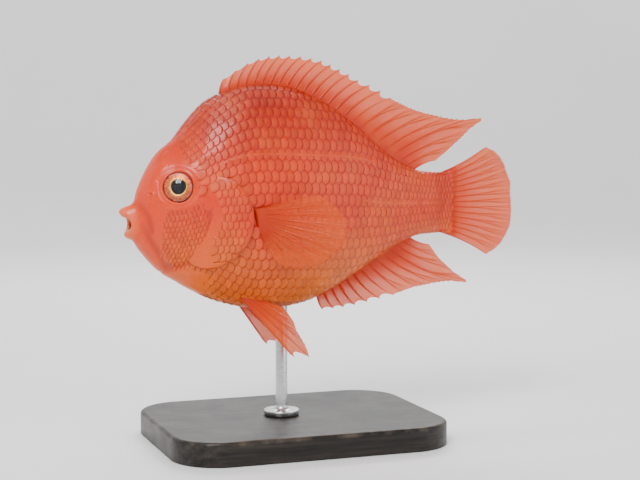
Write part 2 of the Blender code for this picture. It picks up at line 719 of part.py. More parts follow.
main()
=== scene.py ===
"""The looks of a life-size blood parrot cichlid on a display stand.

One seamless skin takes the place of the head, jaw, body and tail stem, with scales laid over it as solid
shells. Fins, gill covers and eyes are finer versions of the solids. Metres, in the frame of the solids.
The fish is worked out in its own frame: s runs from the lips to the tail, y to the right flank, z up.
"""

import math

import bpy
import numpy as np
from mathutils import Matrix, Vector

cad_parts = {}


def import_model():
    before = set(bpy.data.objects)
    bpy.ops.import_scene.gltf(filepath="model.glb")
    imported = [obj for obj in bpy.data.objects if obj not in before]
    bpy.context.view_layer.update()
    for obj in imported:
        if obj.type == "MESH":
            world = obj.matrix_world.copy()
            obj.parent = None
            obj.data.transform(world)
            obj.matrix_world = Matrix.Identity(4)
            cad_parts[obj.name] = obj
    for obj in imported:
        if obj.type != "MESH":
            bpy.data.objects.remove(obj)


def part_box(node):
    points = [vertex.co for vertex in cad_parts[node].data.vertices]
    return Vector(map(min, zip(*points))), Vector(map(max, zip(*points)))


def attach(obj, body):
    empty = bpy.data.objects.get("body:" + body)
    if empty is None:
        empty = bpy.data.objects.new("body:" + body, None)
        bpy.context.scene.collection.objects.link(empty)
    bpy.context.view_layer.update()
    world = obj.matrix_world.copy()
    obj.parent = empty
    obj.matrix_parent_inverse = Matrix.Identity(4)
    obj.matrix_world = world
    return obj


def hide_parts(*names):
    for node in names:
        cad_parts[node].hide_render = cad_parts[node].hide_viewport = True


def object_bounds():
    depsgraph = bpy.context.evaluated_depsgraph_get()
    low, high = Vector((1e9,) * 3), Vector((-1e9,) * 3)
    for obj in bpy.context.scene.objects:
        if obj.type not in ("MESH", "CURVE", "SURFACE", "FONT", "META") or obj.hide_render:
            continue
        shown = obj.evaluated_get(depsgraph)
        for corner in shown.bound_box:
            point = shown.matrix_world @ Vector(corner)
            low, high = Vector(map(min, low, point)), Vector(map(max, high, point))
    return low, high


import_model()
cad_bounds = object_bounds()

LEFT, RIGHT = -1, 1
SIDES = (("left", LEFT), ("right", RIGHT))
ACROSS = np.array([0.0, 1.0, 0.0])
UP = np.array([0.0, 0.0, 1.0])

# Places taken from the solids
GAP = 0.0003  # between the solids' pieces
LIP_FRONT = -0.0004  # station of the upper lip's front
FISH_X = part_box("head")[0].x - LIP_FRONT
STANDARD_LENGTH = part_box("tail_fin")[0].x - GAP - FISH_X
TOTAL_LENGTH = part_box("tail_fin")[1].x - FISH_X
AXIS_HEIGHT = 0.098  # body axis above the floor
TAIL_SWING = 0.010
SWING_START = 0.45 * STANDARD_LENGTH

# Side view of the body, as (distance from the lips, height) over the standard length
BACK_LINE = (
    (0.035, 0.040), (0.068, 0.112), (0.102, 0.166), (0.142, 0.202), (0.182, 0.250), (0.232, 0.303),
    (0.300, 0.340), (0.390, 0.361), (0.480, 0.357), (0.590, 0.319), (0.700, 0.248), (0.810, 0.159),
    (0.910, 0.107), (1.000, 0.096),
)
BELLY_LINE = (
    (0.035, -0.098), (0.080, -0.154), (0.160, -0.216), (0.280, -0.272), (0.420, -0.296),
    (0.560, -0.279), (0.680, -0.220), (0.800, -0.148), (0.905, -0.100), (1.000, -0.091),
)
HALF_WIDTH = (
    (0.035, 0.046), (0.080, 0.080), (0.160, 0.118), (0.280, 0.148), (0.420, 0.155), (0.580, 0.136),
    (0.740, 0.092), (0.880, 0.051), (1.000, 0.025),
)
RIDGE_PINCH = 0.16
STEM_FULLNESS = 0.68
STEM_BLEND = (0.50 * STANDARD_LENGTH, 0.90 * STANDARD_LENGTH)

# The skin runs on over the root of the tail fin, where it spreads with the rays and thins out
SKIN_END = STANDARD_LENGTH + 0.0085
STEM_SPREAD = 0.20
STEM_THIN = (STANDARD_LENGTH - 0.004, STANDARD_LENGTH + 0.008)
STEM_EDGE = 0.0001  # half thickness where the skin ends

# Mouth rings: (distance from the lips, half width, half height, corner sweep, widening at the corners)
MOUTH_HEIGHT = -0.034 * STANDARD_LENGTH
MOUTH_RINGS = (
    (0.0110, 0.0012, 0.0014, 0.0000, 0.00),
    (0.0085, 0.0019, 0.0022, 0.0002, 0.00),
    (0.0052, 0.0020, 0.0025, 0.0010, 0.04),
    (0.0022, 0.0024, 0.0030, 0.0020, 0.10),
    (0.0004, 0.0031, 0.0039, 0.0027, 0.10),
    (0.0000, 0.0041, 0.0051, 0.0028, -0.02),
    (0.0008, 0.0050, 0.0062, 0.0027, -0.08),
    (0.0026, 0.0055, 0.0070, 0.0024, -0.09),
    (0.0046, 0.0061, 0.0082, 0.0021, -0.04),
)
LIP_DEPTH = 0.004
MOUTH_STEPS = 10  # rings from one of these to the next
MOUTH_EGG = 0.20  # how much narrower the opening is above than below
TOOTH_RING, TOOTH_COLUMNS, TOOTH_LENGTH = 3.50, 6, 0.00026
CORNER_SWEEP, SWEEP_FADE = 0.0026, (0.004, 0.024)
BEAK = 0.0008
BEAK_POINT = 0.0005  # how far the middle of the upper lip reaches forward and down
FACE_RINGS = (0.0062, 0.0085, 0.0110, 0.0138)  # stations through which the face runs on from the lips

# Eye
EYE_STATION = 0.138 * STANDARD_LENGTH
EYE_HEIGHT = 0.070 * STANDARD_LENGTH
EYE_SINK = 0.0025
ORBIT_RIM = (0.0007, 0.0086, 0.0020)
NOSTRIL = (0.066 * STANDARD_LENGTH, 0.048 * STANDARD_LENGTH, 0.0008)

# Gill cover
COVER_PIVOT = (0.172 * STANDARD_LENGTH, -0.018 * STANDARD_LENGTH)
COVER_RADII = (0.048 * STANDARD_LENGTH, 0.174 * STANDARD_LENGTH)
COVER_ARC = (math.radians(-92), math.radians(66))
COVER_EDGE = 0.0011  # height of the free edge above the skin

# Turned outlines of the eye, as (radius, height over the ball's middle)
EYEBALL = (
    (0.0, -0.0030), (0.0035, -0.0026), (0.0056, -0.0012), (0.0065, 0.0003), (0.0066, 0.0011),
    (0.0063, 0.0019), (0.0059, 0.0023), (0.0053, 0.00236), (0.0046, 0.00245), (0.0040, 0.00258),
    (0.0035, 0.00268), (0.0032, 0.00262), (0.0030, 0.0023), (0.0029, 0.0020), (0.0, 0.0019),
)
PUPIL = (
    (0.0, 0.0017), (0.0028, 0.0018), (0.00310, 0.0024), (0.0029, 0.00286), (0.0022, 0.00328),
    (0.0012, 0.00358), (0.0, 0.00366),
)
CORNEA = (
    (0.0, 0.00445), (0.0020, 0.00427), (0.0037, 0.00372), (0.0050, 0.00292), (0.0058, 0.00205),
    (0.0061, 0.00165), (0.0063, 0.00165), (0.0061, 0.00225), (0.0052, 0.00325), (0.0038, 0.00405),
    (0.0020, 0.00456), (0.0, 0.00472),
)

# Scales
COAT = 0.00045  # depth of the skin below the solids where scales cover it
ROW_HEIGHT = 0.0046  # between neighbouring rows at the middle of the flank
COLUMN_STEP = 0.0032  # between neighbours in one row
SCALE_LENGTH, SCALE_WIDTH = 0.0035, 0.0033  # half length and half width
SCALE_THICKNESS = 0.00009
ROOT_LIFT, FREE_LIFT = -0.00030, 0.00034  # of a scale's root and free edge above the skin
TAIL_COAT_END = STANDARD_LENGTH + 0.0062  # where the scales end on the middle of the tail fin's root
# First and last station, over the standard length, of the rows along the back's and the belly's ridge
RIDGE_ROWS = {1: ((0.122, 0.272), (0.925, 1.008)), -1: ((0.225, 0.566), (0.912, 1.008))}
LATERAL_LINES = ((4, 0.26, 0.74), (0, 0.70, 0.98))  # row, first and last station over the standard length

# Fins. Each has a ridge for every ray, and its root is sunk into the skin
ROOT_DEPTH = 0.0010
MEMBRANE = 0.00030
FLESHY_SHARE = 0.18
SPINE_RIDGE, SOFT_RIDGE = 0.00044, 0.00026
SPINE_NOTCH, SOFT_NOTCH = 0.11, 0.020
SPINE_STEPS = (0, 0.04, 0.07, 0.10, 0.13, 0.17, 0.25, 0.37, 0.50, 0.63, 0.75, 0.83, 0.87, 0.90, 0.93, 0.96)
SOFT_STEPS = tuple(i / 26 for i in range(26))
FIN_ROWS = 56
RUFFLE = 0.0006
DORSAL_BASE = (0.285 * STANDARD_LENGTH, 0.905 * STANDARD_LENGTH)
DORSAL_RAYS = (16, 9)
DORSAL_LENGTHS = (
    (0, 0.046), (0.10, 0.085), (0.30, 0.112), (0.60, 0.132), (0.74, 0.180), (0.80, 0.235),
    (0.850, 0.305), (0.875, 0.355), (0.892, 0.300), (0.93, 0.218), (1, 0.090),
)
DORSAL_LEANS = ((0, 28), (0.30, 42), (0.60, 56), (0.85, 71), (1, 76))
ANAL_BASE = (0.590 * STANDARD_LENGTH, 0.890 * STANDARD_LENGTH)
ANAL_RAYS = (6, 8)
ANAL_LENGTHS = (
    (0, 0.046), (0.20, 0.085), (0.45, 0.132), (0.62, 0.190), (0.730, 0.262), (0.77, 0.310),
    (0.800, 0.255), (0.86, 0.182), (1, 0.085),
)
ANAL_LEANS = ((0, 26), (0.40, 48), (0.70, 66), (1, 74))
MEDIAN_ROOT, MEDIAN_BOW, MEDIAN_WAVE = 0.0012, 0.06, 0.0022
TAIL_RAYS = 15
TAIL_SPREAD = math.radians(24)
TAIL_ROOT_INSET, TAIL_ROOT_FILL = 0.0006, 0.7
TAIL_CORNER = (0.27, 3.4)
TAIL_BOW, TAIL_WAVE = 0.035, 0.0018
TAIL_FIN_LENGTH = TOTAL_LENGTH - STANDARD_LENGTH
BREAST_BASE = ((0.352, 0.004), (0.366, -0.062))
BREAST_RAYS = 12
BREAST_LENGTHS = ((0, 0.195), (0.14, 0.242), (0.32, 0.262), (0.52, 0.232), (0.76, 0.170), (1, 0.095))
BREAST_TURNS = (14, -60)
BREAST_FLARE = {"left": math.radians(36), "right": math.radians(31)}
BREAST_ROOT, BREAST_CUP = 0.0011, 0.0030
PELVIC_BASE = (0.330 * STANDARD_LENGTH, 0.385 * STANDARD_LENGTH)
PELVIC_PLACE = math.radians(-66)
PELVIC_RAYS = (1, 5)
PELVIC_LENGTHS = ((0, 0.235), (0.20, 0.262), (0.40, 0.195), (0.70, 0.135), (1, 0.080))
PELVIC_TURNS = (52, 18)
PELVIC_FLARE = math.radians(24)
PELVIC_ROOT, PELVIC_CUP = 0.0010, 0.0012

# Stand
BASE_CORNER, BASE_EDGE = 0.020, 0.0015
ROD_RADIUS = 0.0025
ROD_FOOT = (0.0075, 0.0022)
ROD_FILLET = 0.002
ROD_EDGE = 0.0005


def smooth_line(knots, reach=1.0, rise=1.0):
    """A smooth curve through knots, as a function. reach and rise scale its two axes."""
    at, value = (np.array(knots, float) * (reach, rise)).T
    slope = np.gradient(value, at)

    def line(x):
        x = np.clip(x, at[0], at[-1])
        i = np.clip(np.searchsorted(at, x, side="right") - 1, 0, len(at) - 2)
        step = at[i + 1] - at[i]
        t = (x - at[i]) / step
        ease = t * t * (3 - 2 * t)
        bend = t * (1 - t) ** 2 * slope[i] + t * t * (t - 1) * slope[i + 1]
        return value[i] * (1 - ease) + value[i + 1] * ease + bend * step

    return line


def smoothstep(low, high, x):
    t = np.clip((x - low) / (high - low), 0, 1)
    return t * t * (3 - 2 * t)


back_line = smooth_line(BACK_LINE, STANDARD_LENGTH, STANDARD_LENGTH)
belly_line = smooth_line(BELLY_LINE, STANDARD_LENGTH, STANDARD_LENGTH)
width_line = smooth_line(HALF_WIDTH, STANDARD_LENGTH, STANDARD_LENGTH)


def back(s):
    return back_line(s) + STEM_SPREAD * np.clip(s - STANDARD_LENGTH, 0, None)


def belly(s):
    return belly_line(s) - STEM_SPREAD * np.clip(s - STANDARD_LENGTH, 0, None)


def half_width(s):
    return STEM_EDGE + (width_line(s) - STEM_EDGE) * (1 - smoothstep(*STEM_THIN, s))


def fullness(s):
    return 1 + (STEM_FULLNESS - 1) * smoothstep(*STEM_BLEND, s)


def pinch(s):
    return RIDGE_PINCH * (1 - smoothstep(*STEM_BLEND, s))


def signed_power(x, power):
    return np.sign(x) * np.abs(x) ** power


def section(s, angle):
    """Point of the body at s. Angle 0 is the right flank and a quarter turn the back."""
    s, angle = np.broadcast_arrays(np.asarray(s, float), angle)
    middle = (back(s) + belly(s)) / 2
    up = signed_power(np.sin(angle), fullness(s))
    across = signed_power(np.cos(angle), fullness(s))
    y = half_width(s) * across * (1 - pinch(s) * np.sin(angle) ** 2)
    return np.stack([s, y, middle + (back(s) - middle) * up], axis=-1)


def skin_normal(s, angle):
    step = 1e-5
    turn = 1e-3
    along = section(s + step, angle) - section(s - step, angle)
    around = section(s, angle + turn) - section(s, angle - turn)
    normal = np.cross(around, along)
    return normal / np.linalg.norm(normal, axis=-1, keepdims=True)


def flank_angle(s, z, side):
    """Angle of the flank point at height z."""
    middle = (back(s) + belly(s)) / 2
    up = np.clip((z - middle) / (back(s) - middle), -1, 1)
    angle = np.arcsin(signed_power(up, 1 / fullness(s)))
    return np.where(side > 0, angle, math.pi - angle)


def swing(points):
    """Bends fish points sideways, more and more towards the tail."""
    points = np.array(points, float)
    reach = np.clip((points[..., 0] - SWING_START) / (TOTAL_LENGTH - SWING_START), 0, None)
    points[..., 1] += TAIL_SWING * reach**2
    return points


def world(points):
    """Fish points in the frame of the solids."""
    return swing(points) + (FISH_X, 0, AXIS_HEIGHT)


# Relief of the head and body


def cover_polar(s, z):
    """Distance and direction from the gill cover's pivot, in the side view."""
    return np.hypot(s - COVER_PIVOT[0], z - COVER_PIVOT[1]), np.arctan2(z - COVER_PIVOT[1], s - COVER_PIVOT[0])


def cover_band(turn):
    """The gill cover's inner and outer radius in this direction. They meet at both ends of its arc."""
    share = np.clip((turn - COVER_ARC[0]) / (COVER_ARC[1] - COVER_ARC[0]), 0, 1)
    breadth = (COVER_RADII[1] - COVER_RADII[0]) * (0.10 + 0.90 * np.sin(math.pi * share).clip(0, 1) ** 0.5)
    middle = sum(COVER_RADII) / 2
    return middle - breadth / 2, middle + breadth / 2


def cover_rise(s, z):
    """Height of the gill cover's face over the solids' skin: sunk in at its front, raised at its edge."""
    radius, turn = cover_polar(s, z)
    inner, outer = cover_band(turn)
    ends = smoothstep(COVER_ARC[0], COVER_ARC[0] + 0.5, turn) * smoothstep(COVER_ARC[1], COVER_ARC[1] - 0.45, turn)
    share = np.clip((radius - inner) / (outer - inner), 0, 1)
    edge = -0.0006 + (COVER_EDGE + 0.0006) * ends
    return -0.0010 + 0.0007 * smoothstep(0, 0.14, share) + (edge + 0.0003) * smoothstep(0.05, 1, share)


def relief(points):
    """How far the body swells at these points: a low ring round each eye."""
    height, radius, breadth = ORBIT_RIM
    away = np.hypot(points[..., 0] - EYE_STATION, points[..., 2] - EYE_HEIGHT)
    return height * np.exp(-(((away - radius) / breadth) ** 2))


def surface(s, angle, lift=0.0):
    """Point of the body, raised by lift along its normal."""
    points = section(s, angle)
    rise = relief(points) + lift
    return points + rise[..., None] * skin_normal(s, angle)


def near_line(points, line):
    """Distance in the side view from points to a line of (station, height)."""
    line = np.array(line, float)
    nearest = np.full(points.shape[:-1], np.inf)
    for a, b in zip(line[:-1], line[1:]):
        run = b - a
        to = points[..., [0, 2]] - a
        share = np.clip((to @ run) / (run @ run), 0, 1)
        nearest = np.minimum(nearest, np.linalg.norm(to - share[..., None] * run, axis=-1))
    return nearest


def arc(centre, radii, start, end, count=24):
    turn = np.radians(np.linspace(start, end, count))
    return np.stack([centre[0] + radii[0] * np.cos(turn), centre[1] + radii[1] * np.sin(turn)], axis=-1)


def eye_place(side):
    """Middle of the eyeball and the way it looks."""
    angle = flank_angle(EYE_STATION, EYE_HEIGHT, side)
    outward = skin_normal(EYE_STATION, angle)
    return section(EYE_STATION, angle) - EYE_SINK * outward, outward


MAXILLA = ((0.0060, MOUTH_HEIGHT + 0.0075), (0.0085, MOUTH_HEIGHT + 0.003), (0.0098, MOUTH_HEIGHT - 0.003))
JAW_FOLD = (
    (0.0066, MOUTH_HEIGHT - 0.0015), (0.0092, MOUTH_HEIGHT - 0.006), (0.0125, MOUTH_HEIGHT - 0.0115),
    (0.0165, MOUTH_HEIGHT - 0.0185),
)
CHEEK = (0.150 * STANDARD_LENGTH, -0.070 * STANDARD_LENGTH)
CHEEK_RADII = (0.0105, 0.0145)
CHEEK_FOLD_MIDDLE = (0.135 * STANDARD_LENGTH, -0.030 * STANDARD_LENGTH)
CHEEK_FOLD = arc(CHEEK_FOLD_MIDDLE, (0.0125, 0.0185), -98, 12)
THROAT_FOLD = ((0.0262, -0.0212), (0.0215, -0.0232), (0.0170, -0.0249), (0.0135, -0.0262))
FOLDS = (
    (MAXILLA, 0.00045, 0.0011), (JAW_FOLD, 0.00045, 0.0012), (CHEEK_FOLD, 0.00040, 0.0013),
    (THROAT_FOLD, 0.00026, 0.0008),
)


def pores():
    """Sensory pores under the eye, along the jaw and over the forehead, as (station, height)."""
    below = arc((EYE_STATION, EYE_HEIGHT), (0.0104, 0.0108), -150, -20, 7)
    rear = arc((CHEEK_FOLD_MIDDLE[0], CHEEK_FOLD_MIDDLE[1]), (0.0150, 0.0205), -85, 5, 6)
    brow = np.array([[0.0125, 0.0125], [0.0165, 0.0185], [0.0105, 0.0045]])
    return np.concatenate([below, rear, brow])


def folds(points):
    """Depth of the creases at the mouth, the jaw and the cheek."""
    return -sum(depth * np.exp(-((near_line(points, line) / breadth) ** 2)) for line, depth, breadth in FOLDS)


def coat_depth(s):
    """Depth of the skin below the solids, less where the tail's root is thin."""
    return COAT * np.clip(half_width(s) / 0.0015, 0, 1)


def detail(points):
    """Folds, nostrils and the gill slit, and the depth of the skin below the scales."""
    s, z = points[..., 0], points[..., 2]
    lift = folds(points)
    away = np.hypot(s - NOSTRIL[0], z - NOSTRIL[1])
    lift += 0.00025 * np.exp(-(((away - 0.0012) / 0.0004) ** 2)) - 0.0010 * np.exp(-((away / 0.0006) ** 2))
    for s_pore, z_pore in pores():
        lift -= 0.00030 * np.exp(-(((s - s_pore) ** 2 + (z - z_pore) ** 2) / 0.00034**2))
    radius, turn = cover_polar(s, z)
    inner, outer = cover_band(turn)
    inside = smoothstep(COVER_ARC[0], COVER_ARC[0] + 0.25, turn) * smoothstep(COVER_ARC[1], COVER_ARC[1] - 0.25, turn)
    lift -= 0.0006 * inside * np.exp(-(((radius - outer) / 0.0016) ** 2))
    rise = 0.30 * np.clip(z - EYE_HEIGHT, 0, None)
    return lift - coat_depth(s) * smoothstep(0.105 * STANDARD_LENGTH, 0.155 * STANDARD_LENGTH, s + rise)


# Meshes


def new_mesh(name, points, faces, material, uv=None, values=None, smooth=True):
    """An object from points and arrays of faces, each array with faces of one size."""
    mesh = bpy.data.meshes.new(name)
    points = np.ascontiguousarray(points, np.float32).reshape(-1, 3)
    mesh.vertices.add(len(points))
    mesh.vertices.foreach_set("co", points.ravel())
    faces = [np.ascontiguousarray(f, np.int32) for f in faces]
    corners = np.concatenate([f.ravel() for f in faces])
    sizes = np.concatenate([np.full(len(f), f.shape[1]) for f in faces])
    mesh.loops.add(len(corners))
    mesh.loops.foreach_set("vertex_index", corners)
    mesh.polygons.add(len(sizes))
    mesh.polygons.foreach_set("loop_start", np.concatenate([[0], np.cumsum(sizes)[:-1]]).astype(np.int32))
    mesh.update(calc_edges=True)
    for uv_name, place in (uv or {}).items():
        layer = mesh.uv_layers.new(name=uv_name)
        layer.data.foreach_set("uv", np.ascontiguousarray(place.reshape(-1, 2)[corners], np.float32).ravel())
    for key, value in (values or {}).items():
        mesh.attributes.new(key, "FLOAT", "POINT").data.foreach_set("value", np.ravel(value).astype(np.float32))
    mesh.materials.append(material)
    if smooth:
        mesh.shade_smooth()
    piece = bpy.data.objects.new(name, mesh)
    bpy.context.scene.collection.objects.link(piece)
    return piece


def grid_faces(rows, columns, closed=False):
    """Quads of a grid of points, in rows. Closed joins the last column to the first."""
    last = columns if closed else columns - 1
    r, c = np.meshgrid(np.arange(rows - 1), np.arange(last), indexing="ij")
    n = (c + 1) % columns
    return np.stack([r * columns + c, r * columns + n, (r + 1) * columns + n, (r + 1) * columns + c], -1).reshape(-1, 4)


def rim_of(rows, columns):
    """Indices round the border of a grid of points."""
    top = [c for c in range(columns)]
    right = [r * columns + columns - 1 for r in range(1, rows)]
    bottom = [(rows - 1) * columns + c for c in range(columns - 2, -1, -1)]
    left = [r * columns for r in range(rows - 2, 0, -1)]
    return np.array(top + right + bottom + left)


def shell_faces(rows, columns):
    """Faces of a closed thin shell between two grids of points."""
    count = rows * columns
    face = grid_faces(rows, columns)
    rim = rim_of(rows, columns)
    after = np.roll(rim, -1)
    edge = np.stack([rim, rim + count, after + count, after], -1)
    return [np.concatenate([face, face[:, ::-1] + count, edge])]


def thin_sheet(name, first, second, material, uv=None, values=None):
    """A thin closed piece between two grids of points. Maps and values are given once for both grids."""
    twice = lambda grids: {key: np.stack([grid, grid]) for key, grid in (grids or {}).items()}
    rows, columns = first.shape[:2]
    points = world(np.stack([first, second]))
    piece = new_mesh(name, points, shell_faces(rows, columns), material, twice(uv), twice(values))
    return facing_out(piece)


def tube(name, rings, material, uv=None, values=None):
    """A closed piece from closed rings of points, with a fan of faces over each end."""
    rows, columns = rings.shape[:2]
    around = np.arange(columns)
    after = (around + 1) % columns
    pole, last = rows * columns, (rows - 1) * columns
    fans = [
        np.stack([0 * around + pole, after, around], -1),
        np.stack([0 * around + pole + 1, around + last, after + last], -1),
    ]

    def with_poles(grid):
        grid = grid.reshape(rows, columns, -1)
        return np.concatenate([grid.reshape(pole, -1), grid[[0, -1]].mean(1)])

    uv, values = ({key: with_poles(grid) for key, grid in (grids or {}).items()} for grids in (uv, values))
    faces = [grid_faces(rows, columns, closed=True), np.concatenate(fans)]
    return facing_out(new_mesh(name, with_poles(rings), faces, material, uv, values))


def facing_out(piece):
    """Turns a closed piece's faces outward."""
    mesh = piece.data
    mesh.calc_loop_triangles()
    tri = np.empty(len(mesh.loop_triangles) * 3, np.int32)
    mesh.loop_triangles.foreach_get("vertices", tri)
    co = np.empty(len(mesh.vertices) * 3, np.float32)
    mesh.vertices.foreach_get("co", co)
    a, b, c = co.reshape(-1, 3)[tri.reshape(-1, 3)].transpose(1, 0, 2).astype(float)
    if np.einsum("ij,ij->", a, np.cross(b, c)) < 0:
        mesh.flip_normals()
    return piece


def kept(piece, slot, *nodes):
    """Fixes a piece to the object and hides the solids that it stands for. Its slot, the name of its finish, is not
    used.
    """
    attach(piece, "root")
    if nodes:
        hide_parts(*nodes)
    return piece


# Materials


class Finish:
    """A material's node tree, with short ways to add to it."""

    def __init__(self, name, roughness, **values):
        self.material = bpy.data.materials.new(name)
        self.material.use_nodes = True
        self.tree = self.material.node_tree
        self.shader = self.tree.nodes["Principled BSDF"]
        self.shader.inputs["Roughness"].default_value = roughness
        for socket, value in values.items():
            self.shader.inputs[socket.replace("_", " ")].default_value = value

    def node(self, kind, inputs=(), **settings):
        made = self.tree.nodes.new("ShaderNode" + kind)
        for key, value in settings.items():
            setattr(made, key, value)
        for socket, value in dict(inputs).items():
            if isinstance(value, bpy.types.NodeSocket):
                self.tree.links.new(value, made.inputs[socket])
            else:
                made.inputs[socket].default_value = value
        return made

    def place(self):
        return self.node("TexCoord").outputs["Object"]

    def value(self, name):
        return self.node("Attribute", attribute_name=name).outputs["Fac"]

    def uv(self, name):
        return self.node("UVMap", uv_map=name).outputs["UV"]

    def noise(self, scale, detail=3.0, at=None, roughness=0.5):
        inputs = {"Vector": at or self.place(), "Scale": scale, "Detail": detail, "Roughness": roughness}
        return self.node("TexNoise", inputs).outputs["Fac"]

    def span(self, value, low, high, to_low=0.0, to_high=1.0):
        inputs = {"Value": value, "From Min": low, "From Max": high, "To Min": to_low, "To Max": to_high}
        return self.node("MapRange", inputs).outputs["Result"]

    def maths(self, operation, a, b=0.0):
        return self.node("Math", {0: a, 1: b}, operation=operation).outputs[0]

    def blend(self, share, first, second, kind="MIX"):
        made = self.node("Mix", data_type="RGBA", blend_type=kind)
        for socket, value in ((0, share), (6, first), (7, second)):
            if isinstance(value, bpy.types.NodeSocket):
                self.tree.links.new(value, made.inputs[socket])
            else:
                made.inputs[socket].default_value = value
        return made.outputs[2]

    def axis(self, name, at=None):
        return self.node("SeparateXYZ", {"Vector": at or self.place()}).outputs[name]

    def colour(self, socket):
        self.tree.links.new(socket, self.shader.inputs["Base Color"])

    def output(self, socket):
        self.tree.links.new(socket, self.tree.nodes["Material Output"].inputs["Surface"])

    def roughness(self, socket):
        self.tree.links.new(socket, self.shader.inputs["Roughness"])

    def bump(self, height, distance, strength=1.0):
        made = self.node("Bump", {"Height": height, "Distance": distance, "Strength": strength})
        self.tree.links.new(made.outputs["Normal"], self.shader.inputs["Normal"])


BACK_COLOUR = (0.32, 0.006, 0.002, 1)
FLANK_COLOUR = (0.66, 0.028, 0.002, 1)
BELLY_COLOUR = (0.86, 0.165, 0.008, 1)
SNOUT_COLOUR = (0.70, 0.050, 0.004, 1)
# Pale clouds over the fish and its fins, and the painted sheen in the middle of each scale
PALE_AND_SHEEN_COLOUR = (0.80, 0.165, 0.020, 1)
LIP_COLOUR = (0.76, 0.150, 0.045, 1)
MOUTH_COLOUR = (0.20, 0.018, 0.012, 1)
TOOTH_COLOUR = (0.72, 0.52, 0.28, 1)
FIN_ROOT_COLOUR = (0.64, 0.026, 0.002, 1)
FIN_EDGE_COLOUR = (0.86, 0.125, 0.006, 1)
RAY_COLOUR = (0.46, 0.022, 0.002, 1)
IRIS_RING = (0.84, 0.40, 0.04, 1)
IRIS_GOLD = (0.56, 0.115, 0.005, 1)
IRIS_ORANGE = (0.44, 0.032, 0.003, 1)
IRIS_FLECK = (0.14, 0.018, 0.006, 1)
IRIS_DARK = (0.020, 0.005, 0.004, 1)


def fish_colour(finish):
    """The markings that the skin, the scales and the gill covers share."""
    height = finish.axis("Z")
    along = finish.axis("X")
    wander = finish.span(finish.noise(22, 2), 0.3, 0.7, -0.008, 0.008)
    height = finish.maths("ADD", height, wander)
    low = finish.span(height, AXIS_HEIGHT - 0.040, AXIS_HEIGHT - 0.004)
    high = finish.span(height, AXIS_HEIGHT + 0.016, AXIS_HEIGHT + 0.052)
    colour = finish.blend(low, BELLY_COLOUR, FLANK_COLOUR)
    colour = finish.blend(high, colour, BACK_COLOUR)
    snout = finish.span(along, FISH_X + 0.030, FISH_X + 0.004)
    colour = finish.blend(finish.maths("MULTIPLY", snout, 0.75), colour, SNOUT_COLOUR)
    cloud = finish.span(finish.noise(60, 4), 0.50, 0.72, 0.0, 0.30)
    colour = finish.blend(cloud, colour, PALE_AND_SHEEN_COLOUR)
    grain = finish.span(finish.noise(900, 2), 0.35, 0.75, 0.0, 0.18)
    return finish.blend(grain, colour, BACK_COLOUR)


def wet(name, roughness, scatter, **values):
    """A finish for moist flesh: light spreads under the surface, and a clear film lies over it."""
    return Finish(
        name, roughness, Subsurface_Weight=scatter, Subsurface_Radius=(1.0, 0.30, 0.12),
        Subsurface_Scale=0.0015, Specular_IOR_Level=0.25, Coat_Weight=0.18, Coat_Roughness=0.08, **values,
    )


def skin_finish():
    finish = wet("skin", 0.34, 0.20)
    colour = fish_colour(finish)
    colour = finish.blend(finish.maths("MULTIPLY", finish.value("lip"), 0.55), colour, LIP_COLOUR)
    # Painted shade: the creases at the mouth, jaw, cheek and throat, and the gill flaps' rim, are painted darker with
    # the back's colour
    colour = finish.blend(finish.maths("MULTIPLY", finish.value("fold"), 0.50), colour, BACK_COLOUR)
    colour = finish.blend(finish.value("inner"), colour, MOUTH_COLOUR)
    colour = finish.blend(finish.span(finish.value("tooth"), 0.15, 0.6), colour, TOOTH_COLOUR)
    finish.colour(colour)
    finish.roughness(finish.span(finish.noise(160, 3), 0.3, 0.7, 0.28, 0.46))
    pores = finish.node("TexVoronoi", {"Vector": finish.place(), "Scale": 1300.0}).outputs["Distance"]
    broad = finish.maths("MULTIPLY", finish.noise(260, 3), 1.6)
    finish.bump(finish.maths("ADD", pores, broad), 0.00012, 0.45)
    return finish.material


def scale_finish():
    finish = wet("scales", 0.30, 0.10)
    rim = finish.value("rim")
    # Painted sheen: each scale's middle is painted paler, standing in for the shine of its surface
    colour = finish.blend(finish.span(rim, 0.75, 0.15, 0.0, 0.25), fish_colour(finish), PALE_AND_SHEEN_COLOUR)
    colour = finish.blend(finish.span(rim, 0.80, 1.0, 0.0, 0.60), colour, BACK_COLOUR)
    tint = finish.span(finish.value("tint"), 0, 1, 0.88, 1.10)
    finish.colour(finish.node("HueSaturation", {"Value": tint, "Color": colour}).outputs["Color"])
    finish.roughness(finish.span(finish.noise(400, 2), 0.3, 0.7, 0.24, 0.40))
    place = finish.uv("scale")
    rays = finish.node("TexWave", {"Vector": place, "Scale": 5.0, "Distortion": 1.2}, bands_direction="Y")
    rings = finish.node("TexWave", {"Vector": place, "Scale": 9.0, "Distortion": 0.6}, wave_type="RINGS")
    height = finish.maths("ADD", rays.outputs["Fac"], rings.outputs["Fac"])
    finish.bump(height, 0.00003, 0.6)
    return finish.material


